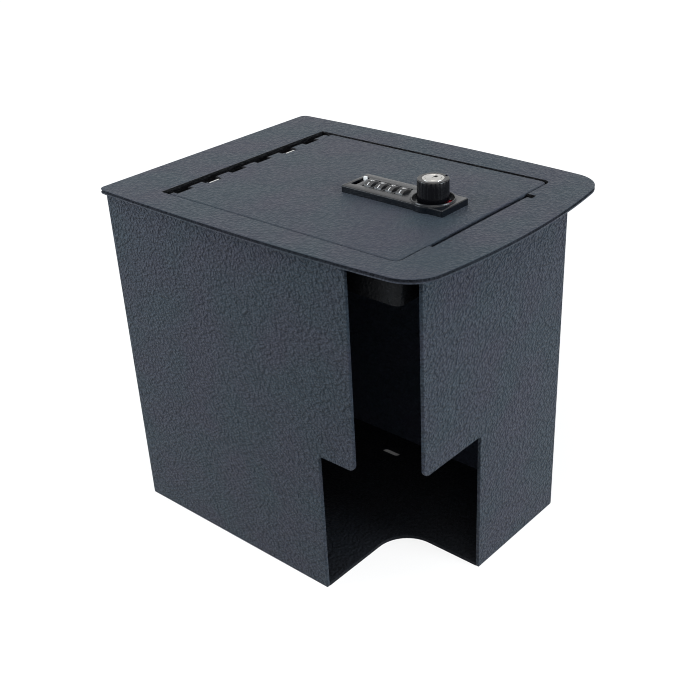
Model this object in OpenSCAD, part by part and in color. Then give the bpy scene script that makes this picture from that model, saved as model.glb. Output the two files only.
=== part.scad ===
// Safe for a vehicle's centre console: a folded steel tub that drops into the console,
// a flat top frame, a flush hinged lid, and a code lock with a knob and a key override.
// Millimetres. The origin is on the ground under the middle of the top frame.
// X runs to the right, +Y towards the hinge, and Z up. The lid opens at the front, -Y.

/* [Steel tub] */
// Width of the tub outside, left to right
tub_w = 177; // [150:1:220]
// Depth of the tub outside, front to hinge side
tub_d = 254; // [240:1:320]
// Height of the tub's walls, from the ground to the top frame
tub_h = 246; // [190:1:320]
// Thickness of the folded sheet
sheet = 2.6; // [1.6:0.1:3.2]
// Inside radius of the upright bends
bend_in = 1.2; // [0.6:0.1:3]

/* [Open corner] */
// Length cut from the left wall above the step
slot_left = 38.5; // [20:0.5:60]
// Length cut from the front wall above the step
slot_front = 21.5; // [12:0.5:40]
// Length cut from the left wall below the step
foot_left = 68.5; // [62:0.5:90]
// Length cut from the front wall below the step
foot_front = 81; // [50:0.5:90]
// Height of the step above the ground
step_h = 108; // [60:1:150]
// Radius on the lower corner of each wall above the step
tab_r = 4.5; // [1:0.5:8]
// Radius in the inner corner of the step
step_r = 3; // [1:0.5:8]
// Radius of the floor's corner notch
floor_r = 25; // [8:1:45]

/* [Floor slots] */
// Length of a bolt slot in the floor, end to end
slot_l = 17; // [10:0.5:24]
// Width of a bolt slot
slot_w = 6.5; // [4.5:0.5:9]
// Distance of the slots from the tub's middle, left and right
slot_x = 65; // [40:1:76]
// Distance of the front slots behind the tub's middle
slot_y = 10; // [-30:1:20]
// Distance from a front slot to the one behind it
slot_pitch = 76; // [40:1:84]

/* [Top frame] */
// Thickness of the top frame
frame_t = 3.2; // [3:0.1:5]
// Overhang of the frame past the tub's left wall, at its widest
over_left = 4.5; // [3:0.5:30]
// Overhang past the right wall, at its widest
over_right = 26; // [5:0.5:40]
// Overhang past the front wall, at its middle
over_front = 20.5; // [15:0.5:40]
// Overhang past the back wall
over_back = 3; // [1:0.5:30]
// How far behind the middle the frame is widest
frame_bulge_y = 16; // [-20:1:40]
// Radius of the side's curve behind its widest place
side_back_r = 3200; // [2500:50:6000]
// Radius of the side's curve in front of its widest place
side_front_r = 1750; // [1500:50:4000]
// Radius of the front edge's curve
front_r = 520; // [420:10:900]
// Radius of the two front corners
front_corner_r = 24; // [12:1:30]
// Radius of the two back corners
back_corner_r = 5; // [2:0.5:12]

/* [Lid opening] */
// Shelf of the frame from the left wall's inner face to the opening
shelf_left = 15.4; // [10:0.1:24]
// Shelf from the front wall's inner face to the opening
shelf_front = 12.2; // [10:0.1:24]
// Shelf from the back wall's inner face to the opening
shelf_back = 36.6; // [20:0.1:50]
// Lap of the lid's opening over the right wall's top edge
wall_lap = 2.1; // [1.6:0.1:2.2]
// Length of the shallow relief in the opening's front edge
relief_l = 101; // [60:1:120]
// Depth of the relief
relief_d = 3; // [1:0.5:4]
// Width of the pry notch at the relief's right end
pry_w = 5; // [3:0.5:8]
// Depth of the pry notch from the opening's edge
pry_d = 6.5; // [4:0.5:8]
// Height of the collar that hangs round the opening
collar_h = 23; // [22:0.5:28]
// Inside radius of the collar's bends
collar_r = 2.4; // [1:0.2:4]
// Length of the latch keeper
keeper_l = 100; // [80:1:120]
// Thickness of the latch keeper
keeper_t = 2.4; // [1.6:0.1:3]
// Width of the keeper's lid ledge
ledge_w = 10; // [6:0.5:11]
// Width of the keeper's strike, which holds the latch cam
strike_w = 12; // [10:0.5:13]

/* [Lid] */
// Thickness of the lid plate
lid_t = 2.6; // [2:0.1:2.6]
// How far the lid's top lies below the frame's top
lid_recess = 0.3; // [0.1:0.1:0.3]
// Gap between the lid and the opening at the sides and front
lid_gap = 1.5; // [0.8:0.1:2.5]
// Radius of the lid's front corners
lid_corner_r = 3; // [1:0.5:6]

/* [Hinge] */
// Outer radius of a hinge knuckle
knuckle_r = 2.4; // [2.1:0.1:2.8]
// Radius of the hinge pin
pin_r = 1.2; // [1:0.05:1.4]
// Length of one knuckle
knuckle_w = 12.4; // [8:0.1:12.6]
// Number of knuckles on the frame's leaf
knuckles = 6; // [4:1:6]
// From the lid's left edge to its first notch
first_notch = 3.6; // [2:0.1:4]
// Depth of the notches in the lid's hinge edge
notch_d = 4; // [3:0.5:6]
// Thickness of the hinge leaves
leaf_t = 1.2; // [0.9:0.1:1.4]
// Width of the leaf under the lid
leaf_w = 20; // [12:0.5:26]
// Width of a steel clip in a hinge notch
clip_w = 8.6; // [4:0.2:10]
// Thickness of a steel clip
clip_t = 1.9; // [1:0.1:2.4]

/* [Lock case] */
// Length of the lock's face plate
plate_l = 81.4; // [80:0.2:88]
// Width of the lock's face plate
plate_w = 27.2; // [26.4:0.2:29]
// Height of the face plate above the lid
plate_h = 4.4; // [4.2:0.1:5.6]
// Chamfer round the face plate's top
plate_chamfer = 0.9; // [0.3:0.1:1.2]
// Radius of the face plate's corners
plate_r = 2.4; // [1.4:0.1:5]
// Length of the lock case below the plate
case_l = 78.4; // [78:0.2:79]
// Width of the lock case below the plate
case_w = 24.4; // [23.6:0.2:25]
// Depth of the lock case below the lid's top
case_drop = 17.4; // [17:0.2:20]
// How far the lock is to the right of the opening's middle
lock_right = 2.3; // [-4:0.1:4]
// From the lid's front edge to the face plate
lock_from_front = 18.3; // [17.5:0.1:24]
// Thickness of the skin over the wheels
skin_t = 1.2; // [0.8:0.1:1.4]

/* [Code wheels] */
// Number of code wheels
wheels = 4; // [4:1:4]
// Distance from one wheel to the next
wheel_pitch = 8.75; // [8:0.05:8.8]
// Radius of a code wheel
wheel_r = 7.4; // [7:0.1:7.5]
// Width of a code wheel
wheel_w = 5.8; // [4.6:0.1:6]
// Distance of the first wheel from the plate's back end
first_wheel = 14.6; // [14:0.1:14.8]
// How far a wheel stands out of the plate
wheel_proud = 1.9; // [1:0.1:2]
// Radius of the wheels' axle
axle_r = 1.5; // [1:0.1:2]
// Length of a wheel's window across the plate
window_l = 12.6; // [12.6:0.1:14]

/* [Code slider] */
// Length of the slider's slot across the plate
slider_slot_l = 15; // [12:0.2:16]
// Width of the slider's slot
slider_slot_w = 4.6; // [3:0.1:5]
// Distance of the slot from the plate's back end
slider_from_end = 4.8; // [4.7:0.1:5.6]
// Length and width of the slider's button
slider_l = 4.4; // [3:0.1:6]

/* [Knob and cam] */
// Distance of the knob from the plate's front end
knob_from_end = 17; // [16.4:0.2:17.6]
// Radius of the knob
knob_r = 10.1; // [9:0.1:10.6]
// Height of the knob's top above the plate
knob_h = 13.6; // [12.6:0.1:18]
// Radius of the dish that the knob stands in
dish_r = 13.4; // [12.8:0.1:13.6]
// Depth of the dish
dish_d = 1.5; // [1:0.1:1.6]
// Radius of the raised ring round the dish
ring_r = 14.8; // [14.4:0.1:15.4]
// Radius of the spindle
spindle_r = 6; // [5.6:0.1:6.4]
// Travel of the locking bar as the knob turns
bar_travel = 1.7; // [1:0.1:1.8]
// Radius of the key barrel's face
barrel_r = 7.1; // [6.6:0.1:7.6]
// Radius of the key plug
plug_r = 5; // [4:0.1:5.6]
// How far the cam's tip reaches under the strike
cam_bite = 8; // [4:0.5:8.5]
// Width of the latch cam
cam_w = 15; // [12:0.5:16]
// Thickness of the latch cam
cam_t = 2.5; // [1.5:0.1:3]

/* [Hidden] */
$fn = 64;

// Clearances
seat = 0.3; // between pieces that move past each other
run = 0.05; // round a shaft in its hole
cut = 1; // how far a cutting shape runs past a face

// The frame reaches past the tub by its four overhangs, and its middle is the origin
frame_w = tub_w + over_left + over_right;
frame_d = tub_d + over_front + over_back;
tub_x = (over_left - over_right) / 2;
tub_y = (over_front - over_back) / 2;
tub_x0 = tub_x - tub_w / 2;
tub_y0 = tub_y - tub_d / 2;
tub_y1 = tub_y + tub_d / 2;
wall_in_x = tub_x + tub_w / 2 - sheet;
bend_out = bend_in + sheet;

// The opening: on its right the lid reaches over the wall's top edge, which is its ledge
top_z = tub_h + frame_t;
open_x0 = tub_x0 + sheet + shelf_left;
open_x1 = wall_in_x + wall_lap;
open_y0 = tub_y0 + sheet + shelf_front;
open_y1 = tub_y1 - sheet - shelf_back;
open_w = open_x1 - open_x0;
open_d = open_y1 - open_y0;
open_x = (open_x0 + open_x1) / 2;
collar_z = tub_h - collar_h;

// The lid
lid_top = top_z - lid_recess;
lid_z = lid_top - lid_t;
lid_x0 = open_x0 + lid_gap;
lid_x1 = open_x1 - lid_gap;
lid_y0 = open_y0 + lid_gap;

// The hinge's axis lies under the lid's hinge edge, clear of the frame as the lid swings
swing_gap = 0.8;
axis_z = lid_z - seat - knuckle_r;
axis_y = open_y1 - (lid_top - axis_z) - swing_gap;
lid_y1 = axis_y - seat;
hinge_x0 = lid_x0 + 1;
hinge_x1 = wall_in_x - 0.5;
clip_notches = [1, knuckles - 2];
clip_seat = clip_t + 2 * seat;

// The keeper hangs inside the collar, with a ledge for the lid and a strike for the cam
keeper_top = lid_z - seat;
keeper_z = collar_z + 0.5;

// The lock
lock_x = open_x + lock_right;
lock_y = lid_y0 + lock_from_front + plate_l / 2;
plate_top = lid_top + plate_h;
plate_y0 = lock_y - plate_l / 2;
plate_y1 = lock_y + plate_l / 2;
case_z = lid_top - case_drop;
knob_y = plate_y0 + knob_from_end;
dish_z = plate_top - dish_d;
axle_z = plate_top + wheel_proud - wheel_r;
wheel_y = [for (i = [0 : wheels - 1]) plate_y1 - first_wheel - i * wheel_pitch];
chamber_w = 2 * wheel_r + 1.6;
chamber_y1 = wheel_y[0] + wheel_w / 2 + 0.8;
chamber_y0 = wheel_y[wheels - 1] - wheel_w / 2 - 0.8;
axle_hold = 2.6;
cover_t = 2;
cover_y0 = chamber_y0 - 6;
bracket_t = 2;
bracket_l = 24;
bracket_y = (chamber_y0 + chamber_y1) / 2;
bracket_screw_x = (case_w / 2 + chamber_w / 2) / 2;
screw_r = 1.25;
screw_deep = 9;
slider_y = plate_y1 - slider_from_end;
slider_foot_t = 1.6;
slider_foot_w = slider_slot_w + 1.6;
slider_foot_l = slider_l + 1.6;
slider_rest = slider_slot_l / 2 - slider_l / 2 - seat;
slider_pocket_l = slider_slot_l + slider_foot_l - slider_l + 0.4;

// The knob's train: knob, flag, spindle and cam turn together
cam_top = keeper_z - 0.7;
cam_reach = knob_y - open_y0 - strike_w + cam_bite;
cam_tip_r = 5;
spindle_boss_z = cam_top + 0.5;
square_w = 8;
flag_t = 0.8;
flag_r = dish_r - 0.4;
dish_skin = 0.5;
flag_z = dish_z - dish_skin - seat - flag_t;
red_angle = -66;
bar_w = 4;
bar_t = 3.6;
bar_z = case_z + cover_t + 0.4;
nose_gap = 0.2;

// Points on an arc round c with radius r, from angle a0 to a1, with n steps
function arc(c, r, a0, a1, n) =
    [for (i = [0 : n]) c + r * [cos(a0 + (a1 - a0) * i / n), sin(a0 + (a1 - a0) * i / n)]];
// Direction in degrees from point p to point q
function bearing(p, q) = atan2(q[1] - p[1], q[0] - p[0]);
// The right-hand meeting point of two circles round p and q, with radii rp and rq
function meeting(p, rp, q, rq) =
    let (d = norm(q - p), a = (rp * rp - rq * rq + d * d) / (2 * d), h = sqrt(rp * rp - a * a),
         e = (q - p) / d)
    p + a * e + h * [e[1], -e[0]];
function mirrored(points) = [for (i = [len(points) - 1 : -1 : 0]) [-points[i][0], points[i][1]]];

// The frame's right half, from the middle of its front edge round to the back corner:
// the front curve, the front corner, the bowed side in two curves, and the back corner
front_c = [0, front_r - frame_d / 2];
side_front_c = [frame_w / 2 - side_front_r, frame_bulge_y];
side_back_c = [frame_w / 2 - side_back_r, frame_bulge_y];
corner_c = meeting(side_front_c, side_front_r - front_corner_r, front_c, front_r - front_corner_r);
back_c_y = frame_d / 2 - back_corner_r;
back_c = [side_back_c[0] + sqrt(pow(side_back_r - back_corner_r, 2)
    - pow(back_c_y - frame_bulge_y, 2)), back_c_y];
frame_right = concat(
    arc(front_c, front_r, -90, bearing(front_c, corner_c), 10),
    arc(corner_c, front_corner_r, bearing(front_c, corner_c), bearing(side_front_c, corner_c), 10),
    arc(side_front_c, side_front_r, bearing(side_front_c, corner_c), 0, 8),
    arc(side_back_c, side_back_r, 0, bearing(side_back_c, back_c), 6),
    arc(back_c, back_corner_r, bearing(side_back_c, back_c), 90, 6));

// A rectangle round the middle with round corners
module round_rect(w, d, r) {
    square([w - 2 * r, d], center = true);
    square([w, d - 2 * r], center = true);
    for (sx = [-1, 1], sy = [-1, 1])
        translate([sx * (w / 2 - r), sy * (d / 2 - r)]) circle(r = r);
}

// A box from corner p to corner q
module block(p, q) translate(p) cube(q - p);

// The flat pattern's cut at the open corner: u runs along the wall from the corner, v up.
// Above the step the wall's lower corner is round, and the step's inner corner has a fillet.
module corner_cut(upper, lower) {
    difference() {
        union() {
            translate([-cut, step_h]) square([upper + cut, tub_h - step_h + cut]);
            translate([-cut, -cut]) square([lower + cut, step_h + cut]);
            difference() {
                translate([upper - 0.01, step_h - 0.01]) square(tab_r + 0.01);
                translate([upper + tab_r, step_h + tab_r]) circle(r = tab_r);
            }
        }
        difference() {
            translate([lower - step_r, step_h - step_r]) square(step_r + cut / 2);
            translate([lower - step_r, step_h - step_r]) circle(r = step_r);
        }
    }
}

// Left, back, right and front walls, folded from one sheet round three upright bends
module wall_wrap() {
    color("darkslategray") difference() {
        linear_extrude(tub_h) translate([tub_x, tub_y]) difference() {
            round_rect(tub_w, tub_d, bend_out);
            round_rect(tub_w - 2 * sheet, tub_d - 2 * sheet, bend_in);
        }
        translate([tub_x0 - cut, tub_y0, 0]) rotate([90, 0, 90])
            linear_extrude(bend_out + cut + 0.5) corner_cut(slot_left, foot_left);
        translate([tub_x0, tub_y0 + bend_out + 0.5, 0]) rotate([90, 0, 0])
            linear_extrude(bend_out + cut + 0.5) corner_cut(slot_front, foot_front);
    }
}

// Floor between the walls, with the round corner notch and two pairs of bolt slots
module floor_plate() {
    color("dimgray") linear_extrude(sheet) difference() {
        translate([tub_x, tub_y]) round_rect(tub_w - 2 * sheet, tub_d - 2 * sheet, bend_in);
        difference() {
            translate([tub_x0 - cut, tub_y0 - cut])
                square([foot_front + cut, foot_left + cut]);
            difference() {
                translate([tub_x0 + foot_front - floor_r, tub_y0 + foot_left - floor_r])
                    square(floor_r + cut);
                translate([tub_x0 + foot_front - floor_r, tub_y0 + foot_left - floor_r])
                    circle(r = floor_r);
            }
        }
        for (sx = [-1, 1], k = [0, 1])
            translate([tub_x + sx * slot_x, tub_y + slot_y + k * slot_pitch]) bolt_slot();
    }
}

module bolt_slot() {
    square([slot_w, slot_l - slot_w], center = true);
    for (s = [-1, 1]) translate([0, s * (slot_l - slot_w) / 2]) circle(d = slot_w);
}

// Flat frame that rests on the console's rim, with bowed sides and a bowed front
module top_frame() {
    color("slategray") translate([0, 0, tub_h]) linear_extrude(frame_t) difference() {
        polygon(concat(frame_right, mirrored(frame_right)));
        translate([open_x0, open_y0]) square([open_w, open_d]);
        translate([open_x - relief_l / 2, open_y0 - relief_d]) square([relief_l, relief_d + cut]);
        translate([open_x + relief_l / 2 - pry_w + 1, open_y0 - pry_d])
            square([pry_w, pry_d + cut]);
    }
}

// Strip folded round three sides of the opening; its ends meet the right wall
module lid_collar() {
    color("dimgray") translate([0, 0, collar_z]) linear_extrude(collar_h) difference() {
        left_round(open_x0 - sheet, wall_in_x, open_y0 - sheet, open_y1 + sheet, collar_r + sheet);
        left_round(open_x0, wall_in_x + cut, open_y0, open_y1, collar_r);
    }
}

// A rectangle with its two left corners round
module left_round(x0, x1, y0, y1, r) {
    translate([x0 + r, y0]) square([x1 - x0 - r, y1 - y0]);
    translate([x0, y0 + r]) square([r + cut, y1 - y0 - 2 * r]);
    for (y = [y0 + r, y1 - r]) translate([x0 + r, y]) circle(r = r);
}

// Channel on the collar's front: its top ledge carries the lid, its bottom is the strike
module latch_keeper() {
    color("gray") translate([open_x - keeper_l / 2, open_y0, 0]) rotate([90, 0, 90])
        linear_extrude(keeper_l) polygon([
            [0, keeper_z], [strike_w, keeper_z], [strike_w, keeper_z + keeper_t],
            [keeper_t, keeper_z + keeper_t], [keeper_t, keeper_top - keeper_t],
            [ledge_w, keeper_top - keeper_t], [ledge_w, keeper_top], [0, keeper_top]]);
}

// Left end of the hinge notch number k
function notch_x(k) = lid_x0 + first_notch + 2 * k * knuckle_w;

// Row of knuckles on the hinge's axis, each from x0 to x1
module knuckle(x0, x1) {
    translate([x0, axis_y, axis_z]) rotate([0, 90, 0]) cylinder(r = knuckle_r, h = x1 - x0);
}

module pin_bore() {
    translate([hinge_x0 - cut, axis_y, axis_z]) rotate([0, 90, 0])
        cylinder(r = pin_r + run, h = hinge_x1 - hinge_x0 + 2 * cut);
}

// Hinge leaf that stands against the collar's back, with a knuckle in each lid notch
module hinge_frame_leaf() {
    strip_z = axis_z - knuckle_r;
    strip_y = axis_y + knuckle_r + seat + 0.1;
    color("dimgray") difference() {
        union() {
            block([hinge_x0, open_y1 - leaf_t, keeper_z], [hinge_x1, open_y1, strip_z + leaf_t]);
            block([hinge_x0, strip_y, strip_z], [hinge_x1, open_y1, strip_z + leaf_t]);
            for (k = [0 : knuckles - 1]) {
                x0 = notch_x(k) + 0.2;
                x1 = notch_x(k) + knuckle_w - 0.2;
                knuckle(x0, x1);
                block([x0, axis_y, strip_z], [x1, strip_y + 0.1, strip_z + leaf_t]);
            }
        }
        pin_bore();
    }
}

module hinge_pin() {
    color("silver") translate([hinge_x0, axis_y, axis_z]) rotate([0, 90, 0])
        cylinder(r = pin_r, h = hinge_x1 - hinge_x0);
}

// Flush lid plate with a notched hinge edge and the cut-out for the lock
module lid_plate() {
    color("slategray") translate([0, 0, lid_z]) linear_extrude(lid_t) difference() {
        union() {
            translate([lid_x0, lid_y0 + lid_corner_r])
                square([lid_x1 - lid_x0, lid_y1 - lid_y0 - lid_corner_r]);
            translate([lid_x0 + lid_corner_r, lid_y0])
                square([lid_x1 - lid_x0 - 2 * lid_corner_r, lid_corner_r + cut]);
            for (x = [lid_x0 + lid_corner_r, lid_x1 - lid_corner_r])
                translate([x, lid_y0 + lid_corner_r]) circle(r = lid_corner_r);
        }
        for (k = [0 : knuckles])
            translate([notch_x(k), lid_y1 - notch_d]) square([knuckle_w, notch_d + cut]);
        for (k = clip_notches)
            translate([notch_x(k) + knuckle_w / 2 - clip_w / 2 - seat,
                lid_y1 - notch_d - clip_seat]) square([clip_w + 2 * seat, clip_seat + cut]);
        translate([lock_x, lock_y]) square([case_w + 2 * seat, case_l + 2 * seat], center = true);
    }
}

// Hinge leaf under the lid, with knuckles between the notches
module hinge_lid_leaf() {
    color("dimgray") difference() {
        union() {
            block([hinge_x0, axis_y - leaf_w, lid_z - leaf_t], [hinge_x1, axis_y, lid_z]);
            for (k = [-1 : knuckles - 1]) {
                x0 = max(notch_x(k) + knuckle_w + 0.2, hinge_x0);
                x1 = min(notch_x(k + 1) - 0.2, hinge_x1);
                if (x1 > x0) knuckle(x0, x1);
            }
        }
        for (k = [0 : knuckles])
            block([notch_x(k) - 0.2, lid_y1 - notch_d, axis_z - knuckle_r - cut],
                [notch_x(k) + knuckle_w + 0.2, axis_y + knuckle_r + cut, lid_z + cut]);
        pin_bore();
    }
}

// Bare steel clips that stand on the lid's hinge leaf, in two of the notches
module hinge_clips() {
    clip_y = lid_y1 - notch_d - clip_seat + seat + clip_t / 2;
    clip_h = lid_t - 0.3;
    color("silver") for (k = clip_notches)
        translate([notch_x(k) + knuckle_w / 2, clip_y, lid_z]) rotate([0, 90, 0])
            translate([0, 0, -clip_w / 2]) linear_extrude(clip_w) {
                translate([-clip_h + clip_t / 2, 0]) circle(d = clip_t);
                translate([-clip_h + clip_t / 2, -clip_t / 2]) square([clip_h - clip_t / 2, clip_t]);
            }
}

// Face plate with round corners and a chamfer: two crossing prisms and four cone-topped posts
module face_block() {
    straight_l = plate_l - 2 * plate_r;
    straight_w = plate_w - 2 * plate_r;
    translate([lock_x, lock_y + straight_l / 2, lid_top]) rotate([90, 0, 0])
        linear_extrude(straight_l) chamfered(plate_w / 2, plate_h, plate_chamfer);
    translate([lock_x - straight_w / 2, lock_y, lid_top]) rotate([90, 0, 90])
        linear_extrude(straight_w) chamfered(plate_l / 2, plate_h, plate_chamfer);
    for (sx = [-1, 1], sy = [-1, 1])
        translate([lock_x + sx * straight_w / 2, lock_y + sy * straight_l / 2, lid_top])
            rotate_extrude() polygon([[0, 0], [plate_r, 0], [plate_r, plate_h - plate_chamfer],
                [plate_r - plate_chamfer, plate_h], [0, plate_h]]);
}

module chamfered(half, h, c) {
    polygon([[-half, 0], [half, 0], [half, h - c], [half - c, h], [c - half, h], [-half, h - c]]);
}

// Die-cast lock: face plate, ring and dish for the knob, wheel chamber and spindle boss
module lock_case() {
    color("#202124") difference() {
        union() {
            face_block();
            translate([lock_x, knob_y, lid_top]) cylinder(r = ring_r, h = plate_h - 0.5);
            translate([lock_x, knob_y, lid_top + plate_h - 0.5])
                cylinder(r = ring_r - 0.6, h = 0.9);
            block([lock_x - case_w / 2, lock_y - case_l / 2, case_z],
                [lock_x + case_w / 2, lock_y + case_l / 2, lid_top]);
            translate([lock_x, knob_y, spindle_boss_z])
                cylinder(r = spindle_r + 2.5, h = case_z - spindle_boss_z + cut);
        }
        // wheel chamber, open below, and the windows above it
        block([lock_x - chamber_w / 2, chamber_y0, case_z - cut],
            [lock_x + chamber_w / 2, chamber_y1, plate_top - skin_t]);
        for (y = wheel_y)
            block([lock_x - window_l / 2, y - wheel_w / 2 - 0.2, plate_top - skin_t - cut],
                [lock_x + window_l / 2, y + wheel_w / 2 + 0.2, plate_top + cut]);
        translate([lock_x, chamber_y1 + axle_hold, axle_z]) rotate([90, 0, 0])
            cylinder(r = axle_r + run, h = chamber_y1 - chamber_y0 + 2 * axle_hold);
        // seat of the cover, channel of the locking bar, and screw holes
        block([lock_x - chamber_w / 2, cover_y0, case_z - cut],
            [lock_x + chamber_w / 2, chamber_y1, case_z + cover_t]);
        block([lock_x - bar_w / 2 - seat, knob_y, case_z + cover_t - 0.01],
            [lock_x + bar_w / 2 + seat, chamber_y0 + cut, bar_z + bar_t + seat]);
        for (s = [-1, 1])
            translate([lock_x + s * bracket_screw_x, bracket_y, case_z - cut])
                cylinder(r = screw_r + run, h = screw_deep + cut + 0.5);
        // dish, spindle bore, flag pocket and the window over the red flag
        translate([lock_x, knob_y, dish_z]) cylinder(r = dish_r, h = plate_h + cut);
        translate([lock_x, knob_y, spindle_boss_z - cut])
            cylinder(r = spindle_r + run, h = plate_top - spindle_boss_z + 2 * cut);
        translate([lock_x, knob_y, flag_z - seat]) cylinder(r = flag_r + seat, h = flag_t + 2 * seat);
        translate([lock_x, knob_y, flag_z]) linear_extrude(dish_z - flag_z + cut)
            sector(knob_r - 1, flag_r - 0.2, red_angle - 24, red_angle + 24);
        // slot and pocket of the code slider
        block([lock_x - slider_slot_l / 2, slider_y - slider_slot_w / 2, plate_top - skin_t - cut],
            [lock_x + slider_slot_l / 2, slider_y + slider_slot_w / 2, plate_top + cut]);
        block([lock_x - slider_pocket_l / 2, slider_y - slider_foot_w / 2 - 0.2,
            plate_top - skin_t - slider_foot_t - seat],
            [lock_x + slider_pocket_l / 2, slider_y + slider_foot_w / 2 + 0.2, plate_top - skin_t]);
    }
}

// Part of a ring from angle a0 to a1
module sector(r0, r1, a0, a1) {
    polygon(concat(arc([0, 0], r1, a0, a1, 12), arc([0, 0], r0, a1, a0, 12)));
}

// Plate that closes the wheel chamber from below
module case_cover() {
    color("gray") block([lock_x - chamber_w / 2 + 0.1, cover_y0 + 0.1, case_z],
        [lock_x + chamber_w / 2 - 0.1, chamber_y1 - 0.1, case_z + cover_t]);
}

// Hat-shaped bracket that clamps the case to the lid from below
module lock_bracket() {
    inner = case_w / 2 + 0.1;
    outer = inner + bracket_t;
    foot = outer + 9;
    low = case_z - bracket_t;
    color("silver") difference() {
        translate([lock_x, bracket_y + bracket_l / 2, 0]) rotate([90, 0, 0])
            linear_extrude(bracket_l) polygon([
                [-foot, lid_z], [-inner, lid_z], [-inner, case_z], [inner, case_z],
                [inner, lid_z], [foot, lid_z], [foot, lid_z - bracket_t],
                [outer, lid_z - bracket_t], [outer, low], [-outer, low],
                [-outer, lid_z - bracket_t], [-foot, lid_z - bracket_t]]);
        for (s = [-1, 1])
            translate([lock_x + s * bracket_screw_x, bracket_y, low - cut])
                cylinder(r = screw_r + run, h = bracket_t + 2 * cut);
    }
}

// Two pan-head screws with cross recesses
module bracket_screws() {
    head_z = case_z - bracket_t;
    color("silver") for (s = [-1, 1]) translate([lock_x + s * bracket_screw_x, bracket_y, 0])
        difference() {
            union() {
                translate([0, 0, head_z]) cylinder(r = screw_r, h = bracket_t + screw_deep);
                translate([0, 0, head_z - 1.8]) cylinder(r = 2.8, h = 1.8);
            }
            for (a = [0, 90]) rotate([0, 0, a])
                translate([-1.6, -0.3, head_z - 1.8 - cut]) cube([3.2, 0.6, 0.9 + cut]);
        }
}

module wheel_axle() {
    h = chamber_y1 - chamber_y0 + 2 * axle_hold - 0.4;
    color("silver") translate([lock_x, chamber_y1 + axle_hold - 0.2, axle_z]) rotate([90, 0, 0])
        cylinder(r = axle_r, h = h);
}

// Code wheel with a chamfered rim and ten finger grooves between the digits
module code_wheel(y) {
    half = wheel_w / 2;
    color("#2b2b2e") translate([lock_x, y, axle_z]) rotate([90, 0, 0]) difference() {
        rotate_extrude() polygon([[axle_r + run, -half], [wheel_r - 0.5, -half],
            [wheel_r, -half + 0.8], [wheel_r, half - 0.8], [wheel_r - 0.5, half],
            [axle_r + run, half]]);
        for (k = [0 : 9]) rotate([0, 0, 36 * k + 18]) translate([wheel_r + 0.5, 0, -half - cut])
            cylinder(r = 0.9, h = wheel_w + 2 * cut, $fn = 16);
    }
}

module code_wheel_1() code_wheel(wheel_y[0]);
module code_wheel_2() code_wheel(wheel_y[1]);
module code_wheel_3() code_wheel(wheel_y[2]);
module code_wheel_4() code_wheel(wheel_y[3]);

// Comb of four spring fingers, one beside each wheel, that click into its grooves
module detent_spring() {
    base_z = case_z + cover_t;
    finger_x = wheel_r * 0.74;
    finger_h = axle_z - sqrt(pow(wheel_r + 1, 2) - finger_x * finger_x) - base_z;
    x0 = lock_x + finger_x;
    color("silver") {
        block([x0 - 0.25, chamber_y0 + 0.5, base_z], [x0 + 1.6, chamber_y1 - 0.5, base_z + 0.5]);
        for (y = wheel_y) {
            block([x0 - 0.25, y - 1.5, base_z + 0.25], [x0 + 0.25, y + 1.5, base_z + finger_h]);
            translate([x0, y + 1.5, base_z + finger_h]) rotate([90, 0, 0])
                cylinder(r = 0.6, h = 3, $fn = 24);
        }
    }
}

// Bar that blocks the spindle until the wheels line up; the knob's spiral pushes it back
module locking_bar() {
    nose_y = knob_y + spindle_low_r + nose_gap;
    color("silver") {
        block([lock_x - bar_w / 2, nose_y, bar_z],
            [lock_x + bar_w / 2, wheel_y[0] + 1, bar_z + bar_t]);
        for (y = wheel_y)
            block([lock_x - bar_w / 2, y - 1, bar_z + bar_t - 0.1],
                [lock_x + bar_w / 2, y + 1, min(bar_z + bar_t + 1.5, axle_z - wheel_r - seat)]);
    }
}

// Slider that frees the wheels for setting a new code
module code_slider() {
    foot_top = plate_top - skin_t - 0.15;
    color("whitesmoke") translate([lock_x + slider_rest, slider_y, 0]) {
        block([-slider_l / 2, -slider_slot_w / 2 + 0.2, foot_top - 0.1],
            [slider_l / 2, slider_slot_w / 2 - 0.2, plate_top + 0.5]);
        block([-slider_foot_l / 2, -slider_foot_w / 2, foot_top - slider_foot_t + 0.2],
            [slider_foot_l / 2, slider_foot_w / 2, foot_top]);
    }
}

// Knob with a fluted grip, a bevelled rim, a pointer notch and a seat for the key barrel
module lock_knob() {
    z0 = dish_z + seat;
    z1 = plate_top + knob_h;
    color("#1a1a1c") translate([lock_x, knob_y, 0]) difference() {
        rotate_extrude() polygon([[0, z0], [knob_r - 0.4, z0], [knob_r, z0 + 0.4],
            [knob_r, z1 - 0.9], [knob_r - 0.9, z1], [0, z1]]);
        translate([0, 0, z1 - 12]) cylinder(r = barrel_r + run, h = 12 + cut);
        for (k = [0 : 23]) rotate([0, 0, 15 * k + 7.5])
            translate([knob_r + 0.6, 0, z0 + 1.6]) cylinder(r = 0.9, h = z1 - z0 - 3.4, $fn = 16);
        rotate([0, 0, -23]) translate([knob_r - 1.7, -0.9, z1 - 1.6]) cube([2, 1.8, 2]);
    }
}

spindle_low_r = spindle_r - bar_travel - 0.1;

// Outline of the spindle where the bar's nose bears: low for a while, then a steady rise
function spiral_r(a) = a < 50 ? spindle_r - 0.1 : a < 90 ? spindle_low_r
    : a < 180 ? spindle_low_r + bar_travel * (a - 90) / 90 : spindle_r - 0.1;

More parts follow.
